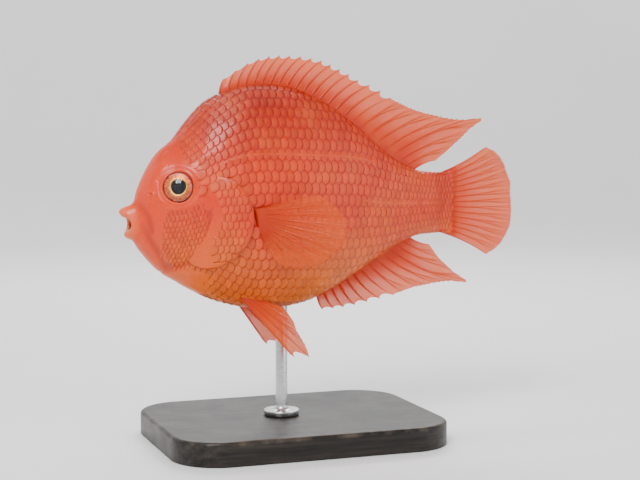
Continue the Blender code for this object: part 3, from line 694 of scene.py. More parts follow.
def fin_finish(name, clear):
    """Rays in a thin membrane that light shines through. clear is how see-through its edge is."""
    finish = wet(name, 0.36, 0.0)
    ray, reach = finish.value("ray"), finish.value("reach")
    colour = finish.blend(finish.span(reach, 0.0, 0.85), FIN_ROOT_COLOUR, FIN_EDGE_COLOUR)
    colour = finish.blend(finish.maths("MULTIPLY", ray, 0.65), colour, RAY_COLOUR)
    cloud = finish.span(finish.noise(90, 4), 0.50, 0.75, 0.0, 0.35)
    colour = finish.blend(cloud, colour, PALE_AND_SHEEN_COLOUR)
    finish.colour(colour)
    finish.roughness(finish.span(finish.noise(300, 2), 0.3, 0.7, 0.30, 0.46))
    joints = finish.node("TexWave", {"Vector": finish.uv("rays"), "Scale": 0.36}, bands_direction="Y")
    joints = finish.maths("MULTIPLY", joints.outputs["Fac"], ray)
    finish.bump(finish.maths("ADD", joints, finish.noise(700, 3)), 0.00006, 0.5)
    back_light = finish.node("BsdfTranslucent", {"Color": colour}).outputs[0]
    body = finish.node("MixShader", {0: 0.38, 1: finish.shader.outputs[0], 2: back_light}).outputs[0]
    thin = finish.span(finish.maths("SUBTRACT", reach, ray), 0.02, 0.55, 0.0, clear)
    film = finish.node("BsdfTransparent").outputs[0]
    finish.output(finish.node("MixShader", {0: thin, 1: body, 2: film}).outputs[0])
    return finish.material


def iris_finish():
    """Gold round the pupil, then orange with dark flecks, and dark at its outer edge and below it."""
    finish = Finish("iris", 0.36, Specular_IOR_Level=0.2)
    place = finish.node("Mapping", {"Vector": finish.uv("turn"), "Scale": (10.0, 1.6, 1.0)}).outputs[0]
    streaks = finish.noise(3.0, 4, place)
    reach = finish.maths("ADD", finish.value("reach"), finish.span(streaks, 0.3, 0.7, -0.05, 0.05))
    colour = finish.blend(finish.span(reach, 0.53, 0.60), IRIS_RING, IRIS_GOLD)
    colour = finish.blend(finish.span(reach, 0.64, 0.86), colour, IRIS_ORANGE)
    flecks = finish.maths("MULTIPLY", finish.span(reach, 0.58, 0.66), finish.span(streaks, 0.50, 0.64, 0.0, 0.80))
    colour = finish.blend(flecks, colour, IRIS_FLECK)
    colour = finish.blend(finish.span(reach, 0.86, 0.93), colour, IRIS_DARK)
    finish.colour(colour)
    metal = finish.span(reach, 0.86, 0.80, 0.0, 0.35)
    finish.tree.links.new(metal, finish.shader.inputs["Metallic"])
    finish.bump(streaks, 0.00015, 0.6)
    return finish.material


def pupil_finish():
    finish = Finish("pupil", 0.40, Specular_IOR_Level=0.05)
    depth = finish.span(finish.noise(500, 2), 0.3, 0.8)
    finish.colour(finish.blend(depth, (0.002, 0.002, 0.003, 1), (0.010, 0.008, 0.012, 1)))
    return finish.material


def cornea_finish():
    """Clear, and lets the lamps' light through to the iris."""
    finish = Finish("cornea", 0.03, Transmission_Weight=1.0, IOR=1.34)
    film = finish.span(finish.noise(240, 3), 0.3, 0.7, 0.02, 0.06)
    finish.roughness(film)
    lamp = finish.node("LightPath").outputs["Is Shadow Ray"]
    clear = finish.node("BsdfTransparent").outputs[0]
    finish.output(finish.node("MixShader", {0: lamp, 1: finish.shader.outputs[0], 2: clear}).outputs[0])
    return finish.material


def wood_finish():
    """Black-stained wood whose grain shows a little through satin lacquer, rubbed pale at the edges."""
    finish = Finish("lacquered_wood", 0.38, Specular_IOR_Level=0.15, Coat_Weight=0.12, Coat_Roughness=0.25)
    along = finish.node("Mapping", {"Vector": finish.place(), "Scale": (6.0, 130.0, 130.0)}).outputs[0]
    grain = finish.noise(3.0, 6, along, 0.65)
    colour = finish.blend(finish.span(grain, 0.35, 0.70), (0.008, 0.007, 0.006, 1), (0.040, 0.032, 0.027, 1))
    wear = finish.maths("MULTIPLY", finish.value("edge"), finish.span(finish.noise(180, 5), 0.45, 0.75, 0, 0.5))
    colour = finish.blend(wear, colour, (0.16, 0.12, 0.09, 1))
    finish.colour(colour)
    finish.roughness(finish.span(finish.noise(60, 4), 0.3, 0.7, 0.30, 0.44))
    finish.bump(grain, 0.00015, 0.35)
    return finish.material


def steel_finish():
    """Steel brushed round the rod."""
    finish = Finish("brushed_steel", 0.26, Metallic=1.0)
    around = finish.node("Mapping", {"Vector": finish.place(), "Scale": (120.0, 120.0, 5200.0)}).outputs[0]
    lines = finish.noise(1.0, 4, around, 0.7)
    finish.colour(finish.blend(lines, (0.50, 0.50, 0.52, 1), (0.70, 0.70, 0.71, 1)))
    finish.roughness(finish.span(lines, 0.3, 0.7, 0.20, 0.36))
    finish.bump(lines, 0.00003, 0.5)
    return finish.material


# Skin


def evenly(values, line, count):
    """So many of the values that their points lie evenly along a line, which has a point for each value."""
    length = np.append(0, np.cumsum(np.linalg.norm(np.diff(line, axis=0), axis=-1)))
    return np.interp(np.linspace(0, length[-1], count), length, values)


def angles(count):
    """Angles that lie evenly along the skin of a deep section."""
    fine = np.linspace(0, 2 * math.pi, 2001)
    return evenly(fine, section(0.25 * STANDARD_LENGTH, fine), count + 1)[:-1]


def stations_on_back(first, last, count):
    """Stations that lie evenly along the line of the back."""
    fine = np.linspace(first, last, 2001)
    return evenly(fine, section(fine, math.pi / 2), count)


def ring_normals(points):
    """Normals of a skin of closed rings."""
    around = np.roll(points, -1, axis=1) - np.roll(points, 1, axis=1)
    normal = np.cross(around, np.gradient(points, axis=0))
    return normal / np.linalg.norm(normal, axis=-1, keepdims=True)


def mouth_rings(turn):
    """Rings from the mouth's cavity out round the lips. The upper lip has a small blunt point."""
    rings = []
    up, corner = np.sin(turn), np.cos(turn) ** 2
    point = BEAK_POINT * np.exp(-(((1 - up) / 0.45) ** 2))
    for s, wide, high, sweep, wider in MOUTH_RINGS:
        lip = smoothstep(LIP_DEPTH + 0.001, LIP_DEPTH - 0.001, s)
        x = s + sweep * corner - lip * (BEAK * up + point)
        y = wide * np.cos(turn) * (1 - MOUTH_EGG * lip * up) * (1 + wider * corner)
        rings.append(np.stack([x, y, MOUTH_HEIGHT + high * up - lip * point], axis=-1))
    return rings


def teeth(points, ring, turn):
    """Small teeth inside the lips, as (how far they move these points, how much each point is tooth)."""
    comb = np.cos(2 * math.pi * np.arange(len(turn)) / TOOTH_COLUMNS).clip(0, 1) ** 0.6
    comb = comb * smoothstep(0.30, 0.55, np.abs(np.sin(turn)))
    strength = np.exp(-(((ring - TOOTH_RING) / 0.13) ** 2)) * comb
    inward = np.array([0, 0, MOUTH_HEIGHT]) - points * (0, 1, 1)
    inward = inward / np.linalg.norm(inward, axis=-1, keepdims=True).clip(1e-6)
    return TOOTH_LENGTH * strength[..., None] * (inward - (0.35, 0, 0)), strength


def sweep_at(s):
    return CORNER_SWEEP * (1 - smoothstep(*SWEEP_FADE, s))


def body_ring(s, turn):
    return surface(s + sweep_at(s) * np.cos(turn) ** 2, turn)


def through(rings, steps):
    """Rings on a smooth curve through the given ones, all but the first and last of which are passed."""
    made = []
    for a, b, c, d in zip(rings, rings[1:], rings[2:], rings[3:]):
        for t in np.arange(steps) / steps:
            made.append(
                ((-a + 3 * b - 3 * c + d) * t**3 + (2 * a - 5 * b + 4 * c - d) * t**2 + (c - a) * t + 2 * b) / 2
            )
    return made


def sockets(points):
    """Hollows under the eyeballs, with a soft rim."""
    for name, side in SIDES:
        centre, outward = eye_place(side)
        to = points - centre
        away = np.linalg.norm(to - (to @ outward)[..., None] * outward, axis=-1)
        here = (points[..., 1] * side > 0) & (away < 0.012)
        rim = 0.00045 * np.exp(-(((away - 0.0067) / 0.0006) ** 2))
        hollow = -0.0034 * (1 - smoothstep(0.0054, 0.0062, away))
        points = points + np.where(here, rim + hollow, 0)[..., None] * outward
    return points


def make_skin(material):
    """The seamless skin: rings through the mouth's cavity, round the lips and on to the tail fin."""
    turn = angles(280)
    head = stations_on_back(FACE_RINGS[2], 0.362 * STANDARD_LENGTH, 130)
    stations = np.concatenate([head, np.linspace(0.362 * STANDARD_LENGTH, SKIN_END, 115)[1:]])
    keys = mouth_rings(turn)[:1] + mouth_rings(turn) + [body_ring(s, turn) for s in FACE_RINGS]
    points = np.stack(through(keys, MOUTH_STEPS) + [body_ring(s, turn) for s in stations])
    ring = np.arange(len(points))[:, None] / MOUTH_STEPS + 0 * turn
    bite, tooth = teeth(points, ring, turn)
    normals = ring_normals(points)
    fade = smoothstep(7.2, 9.0, ring)
    lift = detail(points) * fade
    values = {
        "inner": 1 - smoothstep(2.6, 4.1, ring),
        "lip": smoothstep(2.8, 4.1, ring) * (1 - smoothstep(6.0, 8.4, ring)),
        # How deep the creases are, which the skin's finish paints darker as painted shade
        "fold": np.clip(-folds(points) / 0.0004, 0, 1) * fade,
        "tooth": tooth,
    }
    points = points + bite
    points = sockets(points + lift[..., None] * normals)
    skin = tube("skin", world(points), material, values=values)
    kept(skin, "skin", "head", "jaw_lower", "torso", "tail_stem")


def make_gill_covers(material):
    """A plate over each gill slit, sunk into the cheek at its front and free at its rear edge."""
    share, turn = np.meshgrid(np.linspace(0, 1, 44), np.linspace(*COVER_ARC, 190)[1:-1], indexing="ij")
    inner, outer = cover_band(turn)
    radius = inner + (outer - 0.00001 - inner) * share
    s, z = COVER_PIVOT[0] + radius * np.cos(turn), COVER_PIVOT[1] + radius * np.sin(turn)
    thick = 0.0007 - 0.0003 * share
    rim = (np.clip(share - 0.90, 0, None) / 0.10) ** 2 * thick * 0.45
    rise = cover_rise(s, z)
    for name, side in SIDES:
        angle = flank_angle(s, z, side)
        faces = surface(s, angle, rise - rim), surface(s, angle, rise - thick + rim)
        # Painted shade: the flap's rim is painted darker, standing in for the shadow of the gill slit under its free
        # edge
        values = {"fold": 0.7 * smoothstep(0.93, 1, share)}
        piece = thin_sheet("gill_flap_" + name, *faces, material, values=values)
        kept(piece, "skin", "gill_cover_" + name)


# Scales


class Flank:
    """The body's surface measured along the fish and round it, from the middle of the flank."""

    def __init__(self, stations=300, places=181):
        self.s = np.linspace(0.02 * STANDARD_LENGTH, SKIN_END, stations)
        fine = np.linspace(-math.pi / 2, math.pi / 2, places)
        points = section(self.s[:, None], fine[None, :])
        step = np.linalg.norm(np.diff(points, axis=1), axis=-1)
        length = np.concatenate([np.zeros((stations, 1)), np.cumsum(step, axis=1)], axis=1)
        length -= length[:, places // 2][:, None]
        self.up, self.down = length[:, -1], -length[:, 0]
        self.share = np.linspace(-1, 1, 161)
        self.angle = np.empty((stations, len(self.share)))
        for i in range(stations):
            reach = np.where(self.share > 0, self.up[i], self.down[i]) * self.share
            self.angle[i] = np.interp(reach, length[i], fine)

    def reach(self, s, w):
        """Distance from the middle of the flank to the ridge on w's side."""
        return np.where(w > 0, np.interp(s, self.s, self.up), np.interp(s, self.s, self.down))

    def angle_at(self, s, w, side):
        """Angle of the point w round from the middle of this side's flank."""
        share = np.clip(w / self.reach(s, w), -1, 1)
        i = np.clip((s - self.s[0]) / (self.s[1] - self.s[0]), 0, len(self.s) - 1.001)
        j = np.clip((share + 1) / 2 * (len(self.share) - 1), 0, len(self.share) - 1.001)
        a, b = i.astype(int), j.astype(int)
        x, y = i - a, j - b
        low = self.angle[a, b] * (1 - y) + self.angle[a, b + 1] * y
        high = self.angle[a + 1, b] * (1 - y) + self.angle[a + 1, b + 1] * y
        angle = low * (1 - x) + high * x
        return np.where(side > 0, angle, math.pi - angle)

    def lattice(self, first, last, size):
        """Scales in rows between two stations, as (station, distance from mid-flank, size, narrowing, row)."""
        stations = np.linspace(first, last, 800)
        steps = np.append(0, np.cumsum(np.diff(stations) / (COLUMN_STEP * size(stations[1:]))))
        made = []
        for row in range(-24, 25):
            s = np.interp(np.arange(0, steps[-1]) + (0.5 if row % 2 else 0.0), steps, stations)
            w = row * ROW_HEIGHT * size(s)
            edge = self.reach(s, w) - np.abs(w)
            narrow = np.clip((edge + 0.0002) / (SCALE_WIDTH * size(s)), 0.2, 1)
            bare = np.where(on_ridge(s, row), 0.70 * SCALE_WIDTH, 0.30 * ROW_HEIGHT) * size(s)
            made.append(np.stack([s, w, size(s), narrow, row + 0 * s], -1)[edge > bare])
        return np.concatenate(made)

    def grown(self, first, last, size, region):
        """The scales of a lattice that grow in a region, with how deep each is sunk as a last number."""
        scales = self.lattice(first * STANDARD_LENGTH, last * STANDARD_LENGTH, size)
        sink = region(section(scales[:, 0], self.angle_at(scales[:, 0], scales[:, 1], RIGHT + 0 * scales[:, 0])))
        return np.column_stack([scales, sink])[np.isfinite(sink)]

    def ridge(self, first, last):
        """One row of scales along the back's ridge, or the belly's, measured from it."""
        stations = np.linspace(first, last, 800) * STANDARD_LENGTH
        steps = np.append(0, np.cumsum(np.diff(stations) / (COLUMN_STEP * body_size(stations[1:]))))
        s = np.interp(np.arange(0, steps[-1]), steps, stations)
        sink = nape_sink(s - 0.118 * STANDARD_LENGTH)
        return np.stack([s, 0 * s, 1.06 * body_size(s), 1 + 0 * s, 0 * s, sink], -1)


def on_ridge(s, sign):
    """True where a row of scales runs along the ridge of the back, or of the belly for a negative sign."""
    share = s / STANDARD_LENGTH
    return np.any([(share > first) & (share < last) for first, last in RIDGE_ROWS[1 if sign > 0 else -1]], axis=0)


def make_scales(name, place, scales, material, grid=(9, 8), tube=0.0, home=0.0):
    """One piece of scales. place(along, across, lift) gives points of the fish. tube is the height of the
    small tube that a scale of the lateral line carries, and home how far its row is from mid-flank where
    its scales aren't measured from there."""
    rng = np.random.default_rng(len(scales))
    count = len(scales)
    p, q = np.meshgrid(np.linspace(-1, 1, grid[0]), np.linspace(-1, 1, grid[1]), indexing="ij")
    x, y = p * np.sqrt(1 - q**2 / 2), q * np.sqrt(1 - p**2 / 2)
    rim = np.hypot(x, y)
    s, w, size, narrow, row, sink = (scales[:, i, None, None] for i in range(6))
    size = size * rng.uniform(0.97, 1.04, size.shape)
    tilt = rng.normal(0, 0.05, size.shape)
    along = s + size * SCALE_LENGTH * (x * np.cos(tilt) - y * np.sin(tilt))
    across = w + size * SCALE_WIDTH * narrow * (y * np.cos(tilt) + x * np.sin(tilt))
    rise = ROOT_LIFT + (FREE_LIFT - ROOT_LIFT) * (x + 1) / 2 + 0.00004 * (1 - y**2)
    rise = rise * size - sink + rng.normal(0, 0.00002, size.shape)
    pipe = tube * np.exp(-((y / 0.20) ** 2)) * smoothstep(-0.6, -0.2, x) * smoothstep(0.62, 0.45, x)
    top = rise + size * (pipe - 0.5 * SCALE_THICKNESS * rim**6)
    shell = np.stack([place(along, across, top), place(along, across, rise - size * SCALE_THICKNESS)], axis=1)
    faces = shell_faces(*grid)[0]
    faces = (faces[None] + (np.arange(count) * 2 * grid[0] * grid[1])[:, None, None]).reshape(-1, 4)
    spread = lambda grids: np.broadcast_to(grids, (count, 2) + grids.shape[-2:])
    local = np.stack([spread(x), spread(y)], -1)
    root = np.stack([scales[:, 0] / (1.1 * STANDARD_LENGTH), 0.5 + (scales[:, 1] + home) / 0.130], -1)
    uv = {"OFBake": root[:, None, None, None, :] + 0.0015 * local, "scale": local * 0.5 + 0.5}
    values = {"rim": spread(rim), "tint": spread(rng.uniform(0, 1, (count, 1, 1, 1)) + 0 * x)}
    piece = facing_out(new_mesh(name, world(shell.reshape(-1, 3)), [faces], material, uv, values))
    kept(piece, "skin")


def body_size(s):
    """Size of the body's scales at s, over that at its middle."""
    front = 0.60 + 0.40 * smoothstep(0.13 * STANDARD_LENGTH, 0.36 * STANDARD_LENGTH, s)
    return front * (1 - 0.42 * smoothstep(0.62 * STANDARD_LENGTH, 1.02 * STANDARD_LENGTH, s))


def nape_sink(behind):
    """How deep scales are sunk at this distance behind the first of them."""
    return 0.00034 * (1 - smoothstep(0, 0.075 * STANDARD_LENGTH, behind))


def on_body(points):
    """How deep the body's scales are sunk: more towards the head. Infinite where none grow."""
    s, z = points[:, 0], points[:, 2]
    radius, turn = cover_polar(s, z)
    beside = (turn > COVER_ARC[0]) & (turn < COVER_ARC[1]) & (s > COVER_PIVOT[0])
    behind = np.where(beside, radius > cover_band(turn)[1] - 0.0004, s > 0.195 * STANDARD_LENGTH)
    from_eye = np.hypot(s - EYE_STATION, z - EYE_HEIGHT)
    nape = (z > 0.120 * STANDARD_LENGTH) & (from_eye > 0.0105) & (s > 0.118 * STANDARD_LENGTH)
    fin_root = near_line(points, np.array(BREAST_BASE) * STANDARD_LENGTH)
    edge = TAIL_COAT_END - 0.0045 * (z / back(s)) ** 2
    front = np.where(z > 0.04 * STANDARD_LENGTH, 0.118, 0.195) * STANDARD_LENGTH
    return np.where((behind | nape) & (fin_root > 0.0020) & (s < edge), nape_sink(s - front), np.inf)


def on_cover(points):
    radius, turn = cover_polar(points[:, 0], points[:, 2])
    inner, outer = cover_band(turn)
    share = (radius - inner) / (outer - inner)
    grown = (share > 0.16) & (share < 0.84) & (turn > COVER_ARC[0] + 0.50) & (turn < COVER_ARC[1] - 0.10)
    return np.where(grown, 0.00006 + 0.00022 * (1 - smoothstep(0.16, 0.40, share)), np.inf)


def on_cheek(points):
    s, z = points[:, 0], points[:, 2]
    from_eye = np.hypot(s - EYE_STATION, z - EYE_HEIGHT)
    oval = np.hypot((s - CHEEK[0]) / CHEEK_RADII[0], (z - CHEEK[1]) / CHEEK_RADII[1])
    edge = np.maximum(smoothstep(0.45, 1, oval), smoothstep(0.0125, 0.0100, from_eye))
    return np.where((oval < 1) & (from_eye > 0.0100), 0.00006 + 0.00018 * edge, np.inf)


def make_coat(material):
    """Scales of the body, the lateral line, the gill covers and the cheeks, and of the back's and belly's ridge."""
    flank = Flank()
    body = flank.grown(0.115, 1.045, body_size, on_body)
    cover = flank.grown(0.09, 0.36, lambda s: 0.70 + 0 * s, on_cover)
    cheek = flank.grown(0.09, 0.30, lambda s: 0.50 + 0 * s, on_cheek)
    share = body[:, 0] / STANDARD_LENGTH
    lined = np.any([(body[:, 4] == row) & (share > a) & (share < b) for row, a, b in LATERAL_LINES], axis=0)
    halves = (share < 0.42, (share >= 0.42) & (share < 0.66), share >= 0.66)
    for name, side in SIDES:

        def place(a, b, lift):
            return surface(a, flank.angle_at(a, b, side + 0 * a), lift + 0.00008 - coat_depth(a))

        def cover_place(a, b, lift):
            angle = flank.angle_at(a, b, side + 0 * a)
            points = section(a, angle)
            return surface(a, angle, lift + cover_rise(points[..., 0], points[..., 2]) + 0.00010)

        def cheek_place(a, b, lift):
            angle = flank.angle_at(a, b, side + 0 * a)
            return surface(a, angle, lift + detail(section(a, angle)) + 0.00012)

        for part, half in enumerate(halves):
            make_scales(f"scales_{name}_{part + 1}", place, body[half & ~lined], material)
        make_scales("lateral_line_" + name, place, body[lined], material, (13, 15), 0.00042)
        make_scales("scales_cover_" + name, cover_place, cover, material)
        make_scales("scales_cheek_" + name, cheek_place, cheek, material, (8, 7))
    for part, sign in (("back", 1), ("belly", -1)):

        def ridge_place(a, b, lift):
            w = sign * (flank.reach(a, sign + 0 * a) - np.abs(b))
            angle = flank.angle_at(a, w, np.where(b < 0, LEFT, RIGHT))
            return surface(a, angle, lift + 0.00020 - coat_depth(a))

        row = np.concatenate([flank.ridge(first, last) for first, last in RIDGE_ROWS[sign]])
        home = sign * flank.reach(row[:, 0], sign + 0 * row[:, 0])
        make_scales("scales_ridge_" + part, ridge_place, row, material, home=home)


# Eyes


def turned(name, outline, place, material, oval=0.0, values=None):
    """A turned piece about the eye's axis, from its outline of (radius, height)."""
    centre, outward = place
    up = UP - (UP @ outward) * outward
    up = up / np.linalg.norm(up)
    ahead = np.cross(up, outward)
    around = np.linspace(0, 2 * math.pi, 96, endpoint=False)
    radius, height = np.array(outline).T
    knots = np.linspace(0, 1, len(radius))
    fine = np.linspace(0, 1, 4 * len(radius) - 3)
    radius, height = np.interp(fine, knots, radius), np.interp(fine, knots, height)
    radius, height = radius[radius > 0], height[radius > 0]
    wide = radius[:, None] * (1 + oval * np.cos(around - 0.5) ** 3 * smoothstep(0.0040, 0.0030, radius)[:, None])
    points = centre + wide[..., None] * (np.cos(around)[:, None] * ahead + np.sin(around)[:, None] * up)
    points = points + height[:, None, None] * outward
    rows, columns = len(radius), len(around)
    around_all = np.broadcast_to(around / (2 * math.pi), (rows, columns))
    values = {"reach": np.broadcast_to(radius[:, None] / 0.0063, (rows, columns))}
    uv = {"turn": np.stack([around_all, values["reach"]], -1)}
    return tube(name, world(points), material, uv, values)


def make_eyes():
    iris, pupil, cornea = iris_finish(), pupil_finish(), cornea_finish()
    for name, side in SIDES:
        place = eye_place(side)
        kept(turned("eye_iris_" + name, EYEBALL, place, iris, 0.10), "eye", "eye_" + name)
        kept(turned("eye_pupil_" + name, PUPIL, place, pupil, 0.10), "eye")
        kept(turned("eye_cornea_" + name, CORNEA, place, cornea), "eye")


# Fins


def fin_columns(hard, soft):
    """Places along a fin's root, counted in rays, from just before the first ray to just past the last."""
    last = hard + soft - 1
    made = [-0.12, -0.10, -0.05]
    for ray in range(last):
        made.extend(ray + np.array(SPINE_STEPS if ray < hard else SOFT_STEPS))
    return np.array(made + [last, last + 0.05, last + 0.10, last + 0.12])


def ray_profile(place, v, hard, last):
    """How high the rays stand above the membrane, from 0 to 1. Soft rays branch twice on their way out."""
    ray = np.clip(np.round(place), 0, last)
    off = place - ray
    spine = np.exp(-((off / (0.115 - 0.060 * v)) ** 4))
    inner = (ray > hard) & (ray < last)
    first = 0.23 * smoothstep(0.30, 1.0, v) * inner
    second = 0.115 * smoothstep(0.58, 1.05, v) * inner
    forks = [np.exp(-(((off - a * first - b * second) / (0.062 - 0.020 * v)) ** 2)) for a in (-1, 1) for b in (-1, 1)]
    return np.where(ray < hard, spine, np.max(forks, axis=0))


def fin(name, rays, root_half, root, tip, across, wave, bow, material, ruffle=RUFFLE):
    """A fin between its root, which is sunk into the skin, and its tips.

    root(u, half) gives the root's two points, half to each side, and tip(u) the free edge, for u along the
    root from 0 to 1. across is the way across the fin, and wave(u, v) moves it that way, for v out to the
    tips. bow(u) bends the rays within the fin, over their length."""
    hard, soft = rays
    last = hard + soft - 1
    rng = np.random.default_rng(hard * 100 + soft)
    place = fin_columns(hard, soft)
    u = place / last
    v = np.linspace(0, 1, FIN_ROWS)[None, :]
    profile = ray_profile(place[:, None], v, hard, last)
    spiny = place < hard
    gap = np.sin(math.pi * np.clip(place - np.floor(place), 0, 1)) ** 0.7
    notch = np.where(spiny, SPINE_NOTCH * gap, SOFT_NOTCH * (1 - profile[:, -1]))
    notch += smooth_line(list(enumerate(rng.uniform(0, 0.022, last + 1))))(place)
    ridge = np.where(spiny, SPINE_RIDGE, SOFT_RIDGE)[:, None] * (1 - 0.62 * v)
    end = np.sqrt(np.clip(1 - (np.clip(np.maximum(-place, place - last), 0, None) / 0.122) ** 2, 0.02, 1))[:, None]
    flesh = (root_half - MEMBRANE / 2) * np.clip(1 - v / FLESHY_SHARE, 0, 1) ** 2
    half = (MEMBRANE / 2 * (1 - 0.55 * v**2) + np.maximum(flesh, ridge * profile)) * end
    near, far = root(u, half[:, 0])
    middle = (near + far) / 2
    away = (tip(u) - middle) * (1 - notch)[:, None]
    centre = middle[:, None] + away[:, None] * v[..., None]
    centre += np.cross(away, across)[:, None] * (4 * bow(u)[:, None] * v * (1 - v))[..., None]
    fold = ruffle * v**2.2 * np.sin(2 * math.pi * (3.3 * u[:, None] + 0.35 * v + 0.2))
    pleat = 0.00018 * gap[:, None] * smoothstep(0.20, 0.50, v)
    centre += (wave(u[:, None], v) + fold + pleat)[..., None] * across
    left, right = (centre + side * half[..., None] * across for side in (LEFT, RIGHT))
    left[:, 0], right[:, 0] = near, far
    along = np.linalg.norm(away, axis=-1)[:, None] * v * 1000
    values = {"ray": profile * (1 - 0.3 * v), "reach": v + 0 * profile}
    uv = {"rays": np.stack([place[:, None] + 0 * v, along], -1)}
    kept(thin_sheet(name + "_web", left, right, material, uv, values), "fin", name)


def median_fin(name, base, rays, lengths, leans, sign, material):
    """The fin of the back or of the belly's rear: rays that lean more and more towards the tail."""
    length = smooth_line(lengths, rise=STANDARD_LENGTH)
    lean = smooth_line(leans)

    def foot(u, lift=-ROOT_DEPTH):
        return surface(base[0] + (base[1] - base[0]) * u, sign * math.pi / 2, lift + 0 * u)

    def root(u, half):
        return foot(u) - half[:, None] * ACROSS, foot(u) + half[:, None] * ACROSS

    def tip(u):
        angle = np.radians(lean(u))
        away = np.stack([np.sin(angle), 0 * u, sign * np.cos(angle)], axis=-1)
        return foot(u, GAP) + length(u)[:, None] * away

    def wave(u, v):
        return MEDIAN_WAVE * v**1.5 * np.sin(2 * math.pi * (1.1 * u + 0.15))

    bow = lambda u: sign * MEDIAN_BOW + 0 * u
    fin(name, rays, MEDIAN_ROOT, root, tip, ACROSS, wave, bow, material)


def tail_fin(material):
    """The tail fin: rays that fan out from the end of the tail stem to a rounded edge."""
    high = back(STANDARD_LENGTH) - TAIL_ROOT_INSET
    low = belly(STANDARD_LENGTH) + TAIL_ROOT_INSET

    def root(u, half):
        share = np.clip(1 - (2 * u - 1) ** 2, 0, 1) ** 0.5
        wide = np.maximum(width_line(STANDARD_LENGTH) * TAIL_ROOT_FILL * share, MEMBRANE / 2)
        s = 0 * u + STANDARD_LENGTH - ROOT_DEPTH
        return tuple(np.stack([s, side * wide, high + (low - high) * u], axis=-1) for side in (LEFT, RIGHT))

    def tip(u):
        turn = TAIL_SPREAD * (1 - 2 * u)
        reach = TAIL_FIN_LENGTH * (1 - TAIL_CORNER[0] * np.abs(2 * u - 1) ** TAIL_CORNER[1])
        away = np.stack([np.cos(turn), 0 * u, np.sin(turn)], axis=-1)
        foot = np.stack([0 * u + STANDARD_LENGTH, 0 * u, high + (low - high) * u], axis=-1)
        return foot + reach[:, None] * away

    def wave(u, v):
        return TAIL_WAVE * v**1.5 * smoothstep(0.15, 0.45, v) * np.sin(2 * math.pi * (u + 0.1))

    bow = lambda u: TAIL_BOW * (2 * u - 1)
    fin("tail_fin", (0, TAIL_RAYS), 0.0020, root, tip, ACROSS, wave, bow, material)


def breast_fin(name, side, material):
    """A breast fin: a rounded fan on the flank just behind the gill cover."""
    top, bottom = STANDARD_LENGTH * np.array(BREAST_BASE)
    length = smooth_line(BREAST_LENGTHS, rise=STANDARD_LENGTH)
    flare = BREAST_FLARE[name]
    outward = np.array([math.cos(flare), side * math.sin(flare), 0.0])
    rearward = np.array([math.sin(flare), -side * math.cos(flare), 0.0])

    def foot(u, d, lift):
        s, z = top[:, None] + (bottom - top)[:, None] * u
        return surface(s + d, flank_angle(s + d, z, side), lift + 0 * u)

    def root(u, half):
        return foot(u, -half, -ROOT_DEPTH), foot(u, half, -ROOT_DEPTH)

    def tip(u):
        turn = np.radians(BREAST_TURNS[0] + (BREAST_TURNS[1] - BREAST_TURNS[0]) * u)
        away = np.cos(turn)[:, None] * outward + np.sin(turn)[:, None] * UP
        return foot(u, 0, GAP) + length(u)[:, None] * away

    def wave(u, v):
        return BREAST_CUP * v**2 * np.cos(math.pi * (u - 0.5))

    bow = lambda u: 0 * u
    fin("pectoral_fin_" + name, (0, BREAST_RAYS), BREAST_ROOT, root, tip, rearward, wave, bow, material)


def pelvic_fin(name, side, material):
    """A belly fin: a pointed fan that hangs back from beside the middle of the belly."""
    length = smooth_line(PELVIC_LENGTHS, rise=STANDARD_LENGTH)
    place = PELVIC_PLACE if side == RIGHT else math.pi - PELVIC_PLACE
    outward = np.array([0.0, math.cos(PELVIC_FLARE), side * math.sin(PELVIC_FLARE)])
    down = np.array([0.0, side * math.sin(PELVIC_FLARE), -math.cos(PELVIC_FLARE)])

    def foot(u, d, lift):
        s = PELVIC_BASE[0] + (PELVIC_BASE[1] - PELVIC_BASE[0]) * u
        return surface(s, place + d / half_width(s), lift + 0 * u)

    def root(u, half):
        return foot(u, -half, -ROOT_DEPTH), foot(u, half, -ROOT_DEPTH)

    def tip(u):
        turn = np.radians(PELVIC_TURNS[0] + (PELVIC_TURNS[1] - PELVIC_TURNS[0]) * u)
        away = np.cos(turn)[:, None] * np.array([1.0, 0.0, 0.0]) + np.sin(turn)[:, None] * down
        return foot(u, 0, GAP) + length(u)[:, None] * away

    def wave(u, v):
        return -side * PELVIC_CUP * v**2 * np.sin(math.pi * u)

    bow = lambda u: 0 * u
    fin("pelvic_fin_" + name, PELVIC_RAYS, PELVIC_ROOT, root, tip, outward, wave, bow, material, 0.0003)


def make_fins():
    thick, thin = fin_finish("fin", 0.30), fin_finish("clear_fin", 0.72)
    median_fin("dorsal_fin", DORSAL_BASE, DORSAL_RAYS, DORSAL_LENGTHS, DORSAL_LEANS, 1, thick)
    median_fin("anal_fin", ANAL_BASE, ANAL_RAYS, ANAL_LENGTHS, ANAL_LEANS, -1, thick)
    tail_fin(thick)
    for name, side in SIDES:
        breast_fin(name, side, thin)
        pelvic_fin(name, side, thick)


# Stand


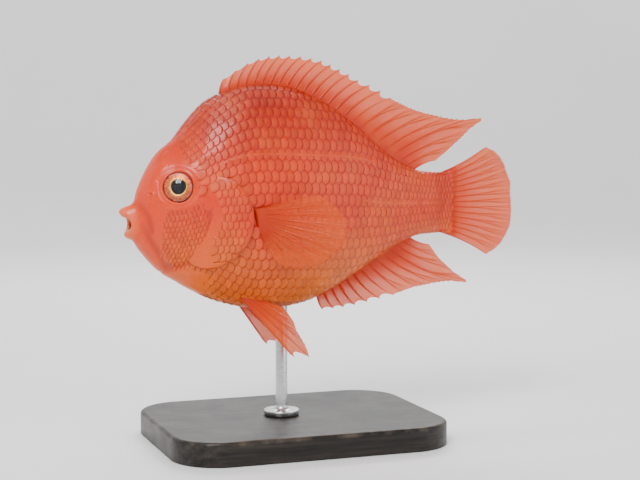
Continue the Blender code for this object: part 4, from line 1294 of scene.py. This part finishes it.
def make_base(material):
    """The base: a plate with rounded corners and a small round along its upper edge."""
    low, high = (np.array(corner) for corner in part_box("stand_base"))
    middle, half = (low + high) / 2, (high - low) / 2
    turn = np.linspace(0, math.pi / 2, 24)
    corner = np.concatenate([np.stack([np.cos(turn + q * math.pi / 2), np.sin(turn + q * math.pi / 2)], -1) for q in range(4)])
    signs = np.repeat([[1, 1], [-1, 1], [-1, -1], [1, -1]], len(turn), axis=0)
    lift = np.linspace(0, math.pi / 2, 9)
    outline = [(0.0004, 0.0), (0.0, 0.0004), (0.0, 0.5 * high[2]), (0.0, high[2] - 1.8 * BASE_EDGE)]
    outline += [(0.0, high[2] - 1.3 * BASE_EDGE), (0.0, high[2] - BASE_EDGE)]
    outline += [(BASE_EDGE * (1 - math.cos(t)), high[2] - BASE_EDGE * (1 - math.sin(t))) for t in lift[1:]]
    outline += [(d, high[2]) for d in (0.003, 0.006, 0.012, 0.018)]
    rings = []
    for inset, z in outline:
        radius = BASE_CORNER - inset
        flat = middle[:2] + signs * (half[:2] - BASE_CORNER) + corner * radius
        rings.append(np.column_stack([flat, np.full(len(flat), z)]))
    points = np.stack(rings)
    edge = np.array([math.exp(-((inset + high[2] - z - 0.0009) / 0.0008) ** 2) for inset, z in outline])
    values = {"edge": edge[:, None] + 0 * points[..., 0]}
    kept(tube("stand_plate", points, material, values=values), "base", "stand_base")


def make_rod(material):
    """The rod, with a flange at its foot."""
    low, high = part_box("stand_rod")
    shoulder = low.z + ROD_FOOT[1]
    lift = np.linspace(0, math.pi / 2, 12)
    outline = [(ROD_FOOT[0] - 0.0002, low.z), (ROD_FOOT[0], low.z + 0.0002)]
    outline += [
        (ROD_FOOT[0] - ROD_EDGE * (1 - math.cos(t)), shoulder - ROD_EDGE * (1 - math.sin(t))) for t in lift
    ]
    outline += [(ROD_RADIUS + ROD_FILLET * (1 - math.sin(t)), shoulder + ROD_FILLET * (1 - math.cos(t))) for t in lift]
    outline += [(ROD_RADIUS, high.z - ROD_EDGE), (ROD_RADIUS - ROD_EDGE, high.z)]
    around = np.linspace(0, 2 * math.pi, 96, endpoint=False)
    radius, height = (column[:, None] for column in np.array(outline).T)
    middle = (low + high) / 2
    points = [middle.x + radius * np.cos(around), middle.y + radius * np.sin(around), height + 0 * around]
    kept(tube("stand_stem", np.stack(points, -1), material), "steel", "stand_rod")


# Stage


def make_stage():
    """A pale floor that curves up into a round wall, so that every side has the same background."""
    finish = Finish("floor", 0.6)
    tone = finish.span(finish.noise(3, 2), 0.3, 0.7, 0.80, 0.84)
    finish.colour(finish.node("CombineColor", {"Red": tone, "Green": tone, "Blue": tone}).outputs[0])
    turn = np.linspace(0, math.pi / 2, 16)
    flat, bend, high = 0.9, 0.5, 1.6
    radius = np.concatenate([[0, flat], flat + bend * np.sin(turn[1:]), [flat + bend]])[:, None]
    height = np.concatenate([[0, 0], bend * (1 - np.cos(turn[1:])), [high]])[:, None]
    around = np.linspace(0, 2 * math.pi, 128, endpoint=False)
    points = np.stack([radius * np.cos(around), radius * np.sin(around), height + 0 * around], -1)
    floor = new_mesh("floor", points, [grid_faces(len(radius), len(around), closed=True)], finish.material)


def add_light(name, place, aim, size, power, tone=(1.0, 1.0, 1.0)):
    light = bpy.data.lights.new(name, "AREA")
    light.shape = "RECTANGLE"
    light.size, light.size_y = size
    light.energy = power
    light.color = tone
    lamp = bpy.data.objects.new(name, light)
    lamp.location = place
    lamp.rotation_euler = (Vector(aim) - Vector(place)).to_track_quat("-Z", "Y").to_euler()
    bpy.context.scene.collection.objects.link(lamp)


def make_lights():
    aim = (0, 0, 0.09)
    add_light("key", (-0.45, -0.55, 0.75), aim, (0.36, 0.36), 10.5)
    add_light("fill", (0.60, -0.60, 0.35), aim, (0.6, 0.6), 1.5)
    add_light("rim", (0.25, 0.60, 0.60), aim, (0.5, 0.3), 5)
    for name, side, power in (("front", -1, 3), ("rear", 1, 17)):
        add_light("wall_" + name, (0.0, 0.45 * side, 1.5), (0, 1.4 * side, 0.5), (1.6, 0.6), power)
    sky = bpy.data.worlds.new("studio")
    sky.use_nodes = True
    sky.node_tree.nodes["Background"].inputs["Color"].default_value = (0.92, 0.94, 1.0, 1)
    sky.node_tree.nodes["Background"].inputs["Strength"].default_value = 0.10
    bpy.context.scene.world = sky


def make_camera():
    low, high = cad_bounds
    aim = (low + high) / 2 + Vector((-0.005, 0, 0.003))
    place = aim + Vector((-0.215, -0.600, 0.055))
    data = bpy.data.cameras.new("camera")
    data.lens = 85
    camera = bpy.data.objects.new("camera", data)
    camera.location = place
    camera.rotation_euler = (aim - place).to_track_quat("-Z", "Y").to_euler()
    bpy.context.scene.collection.objects.link(camera)
    bpy.context.scene.camera = camera


make_camera()
make_stage()
make_lights()
skin_material = skin_finish()
make_skin(skin_material)
make_gill_covers(skin_material)
make_coat(scale_finish())
make_eyes()
make_fins()
make_base(wood_finish())
make_rod(steel_finish())
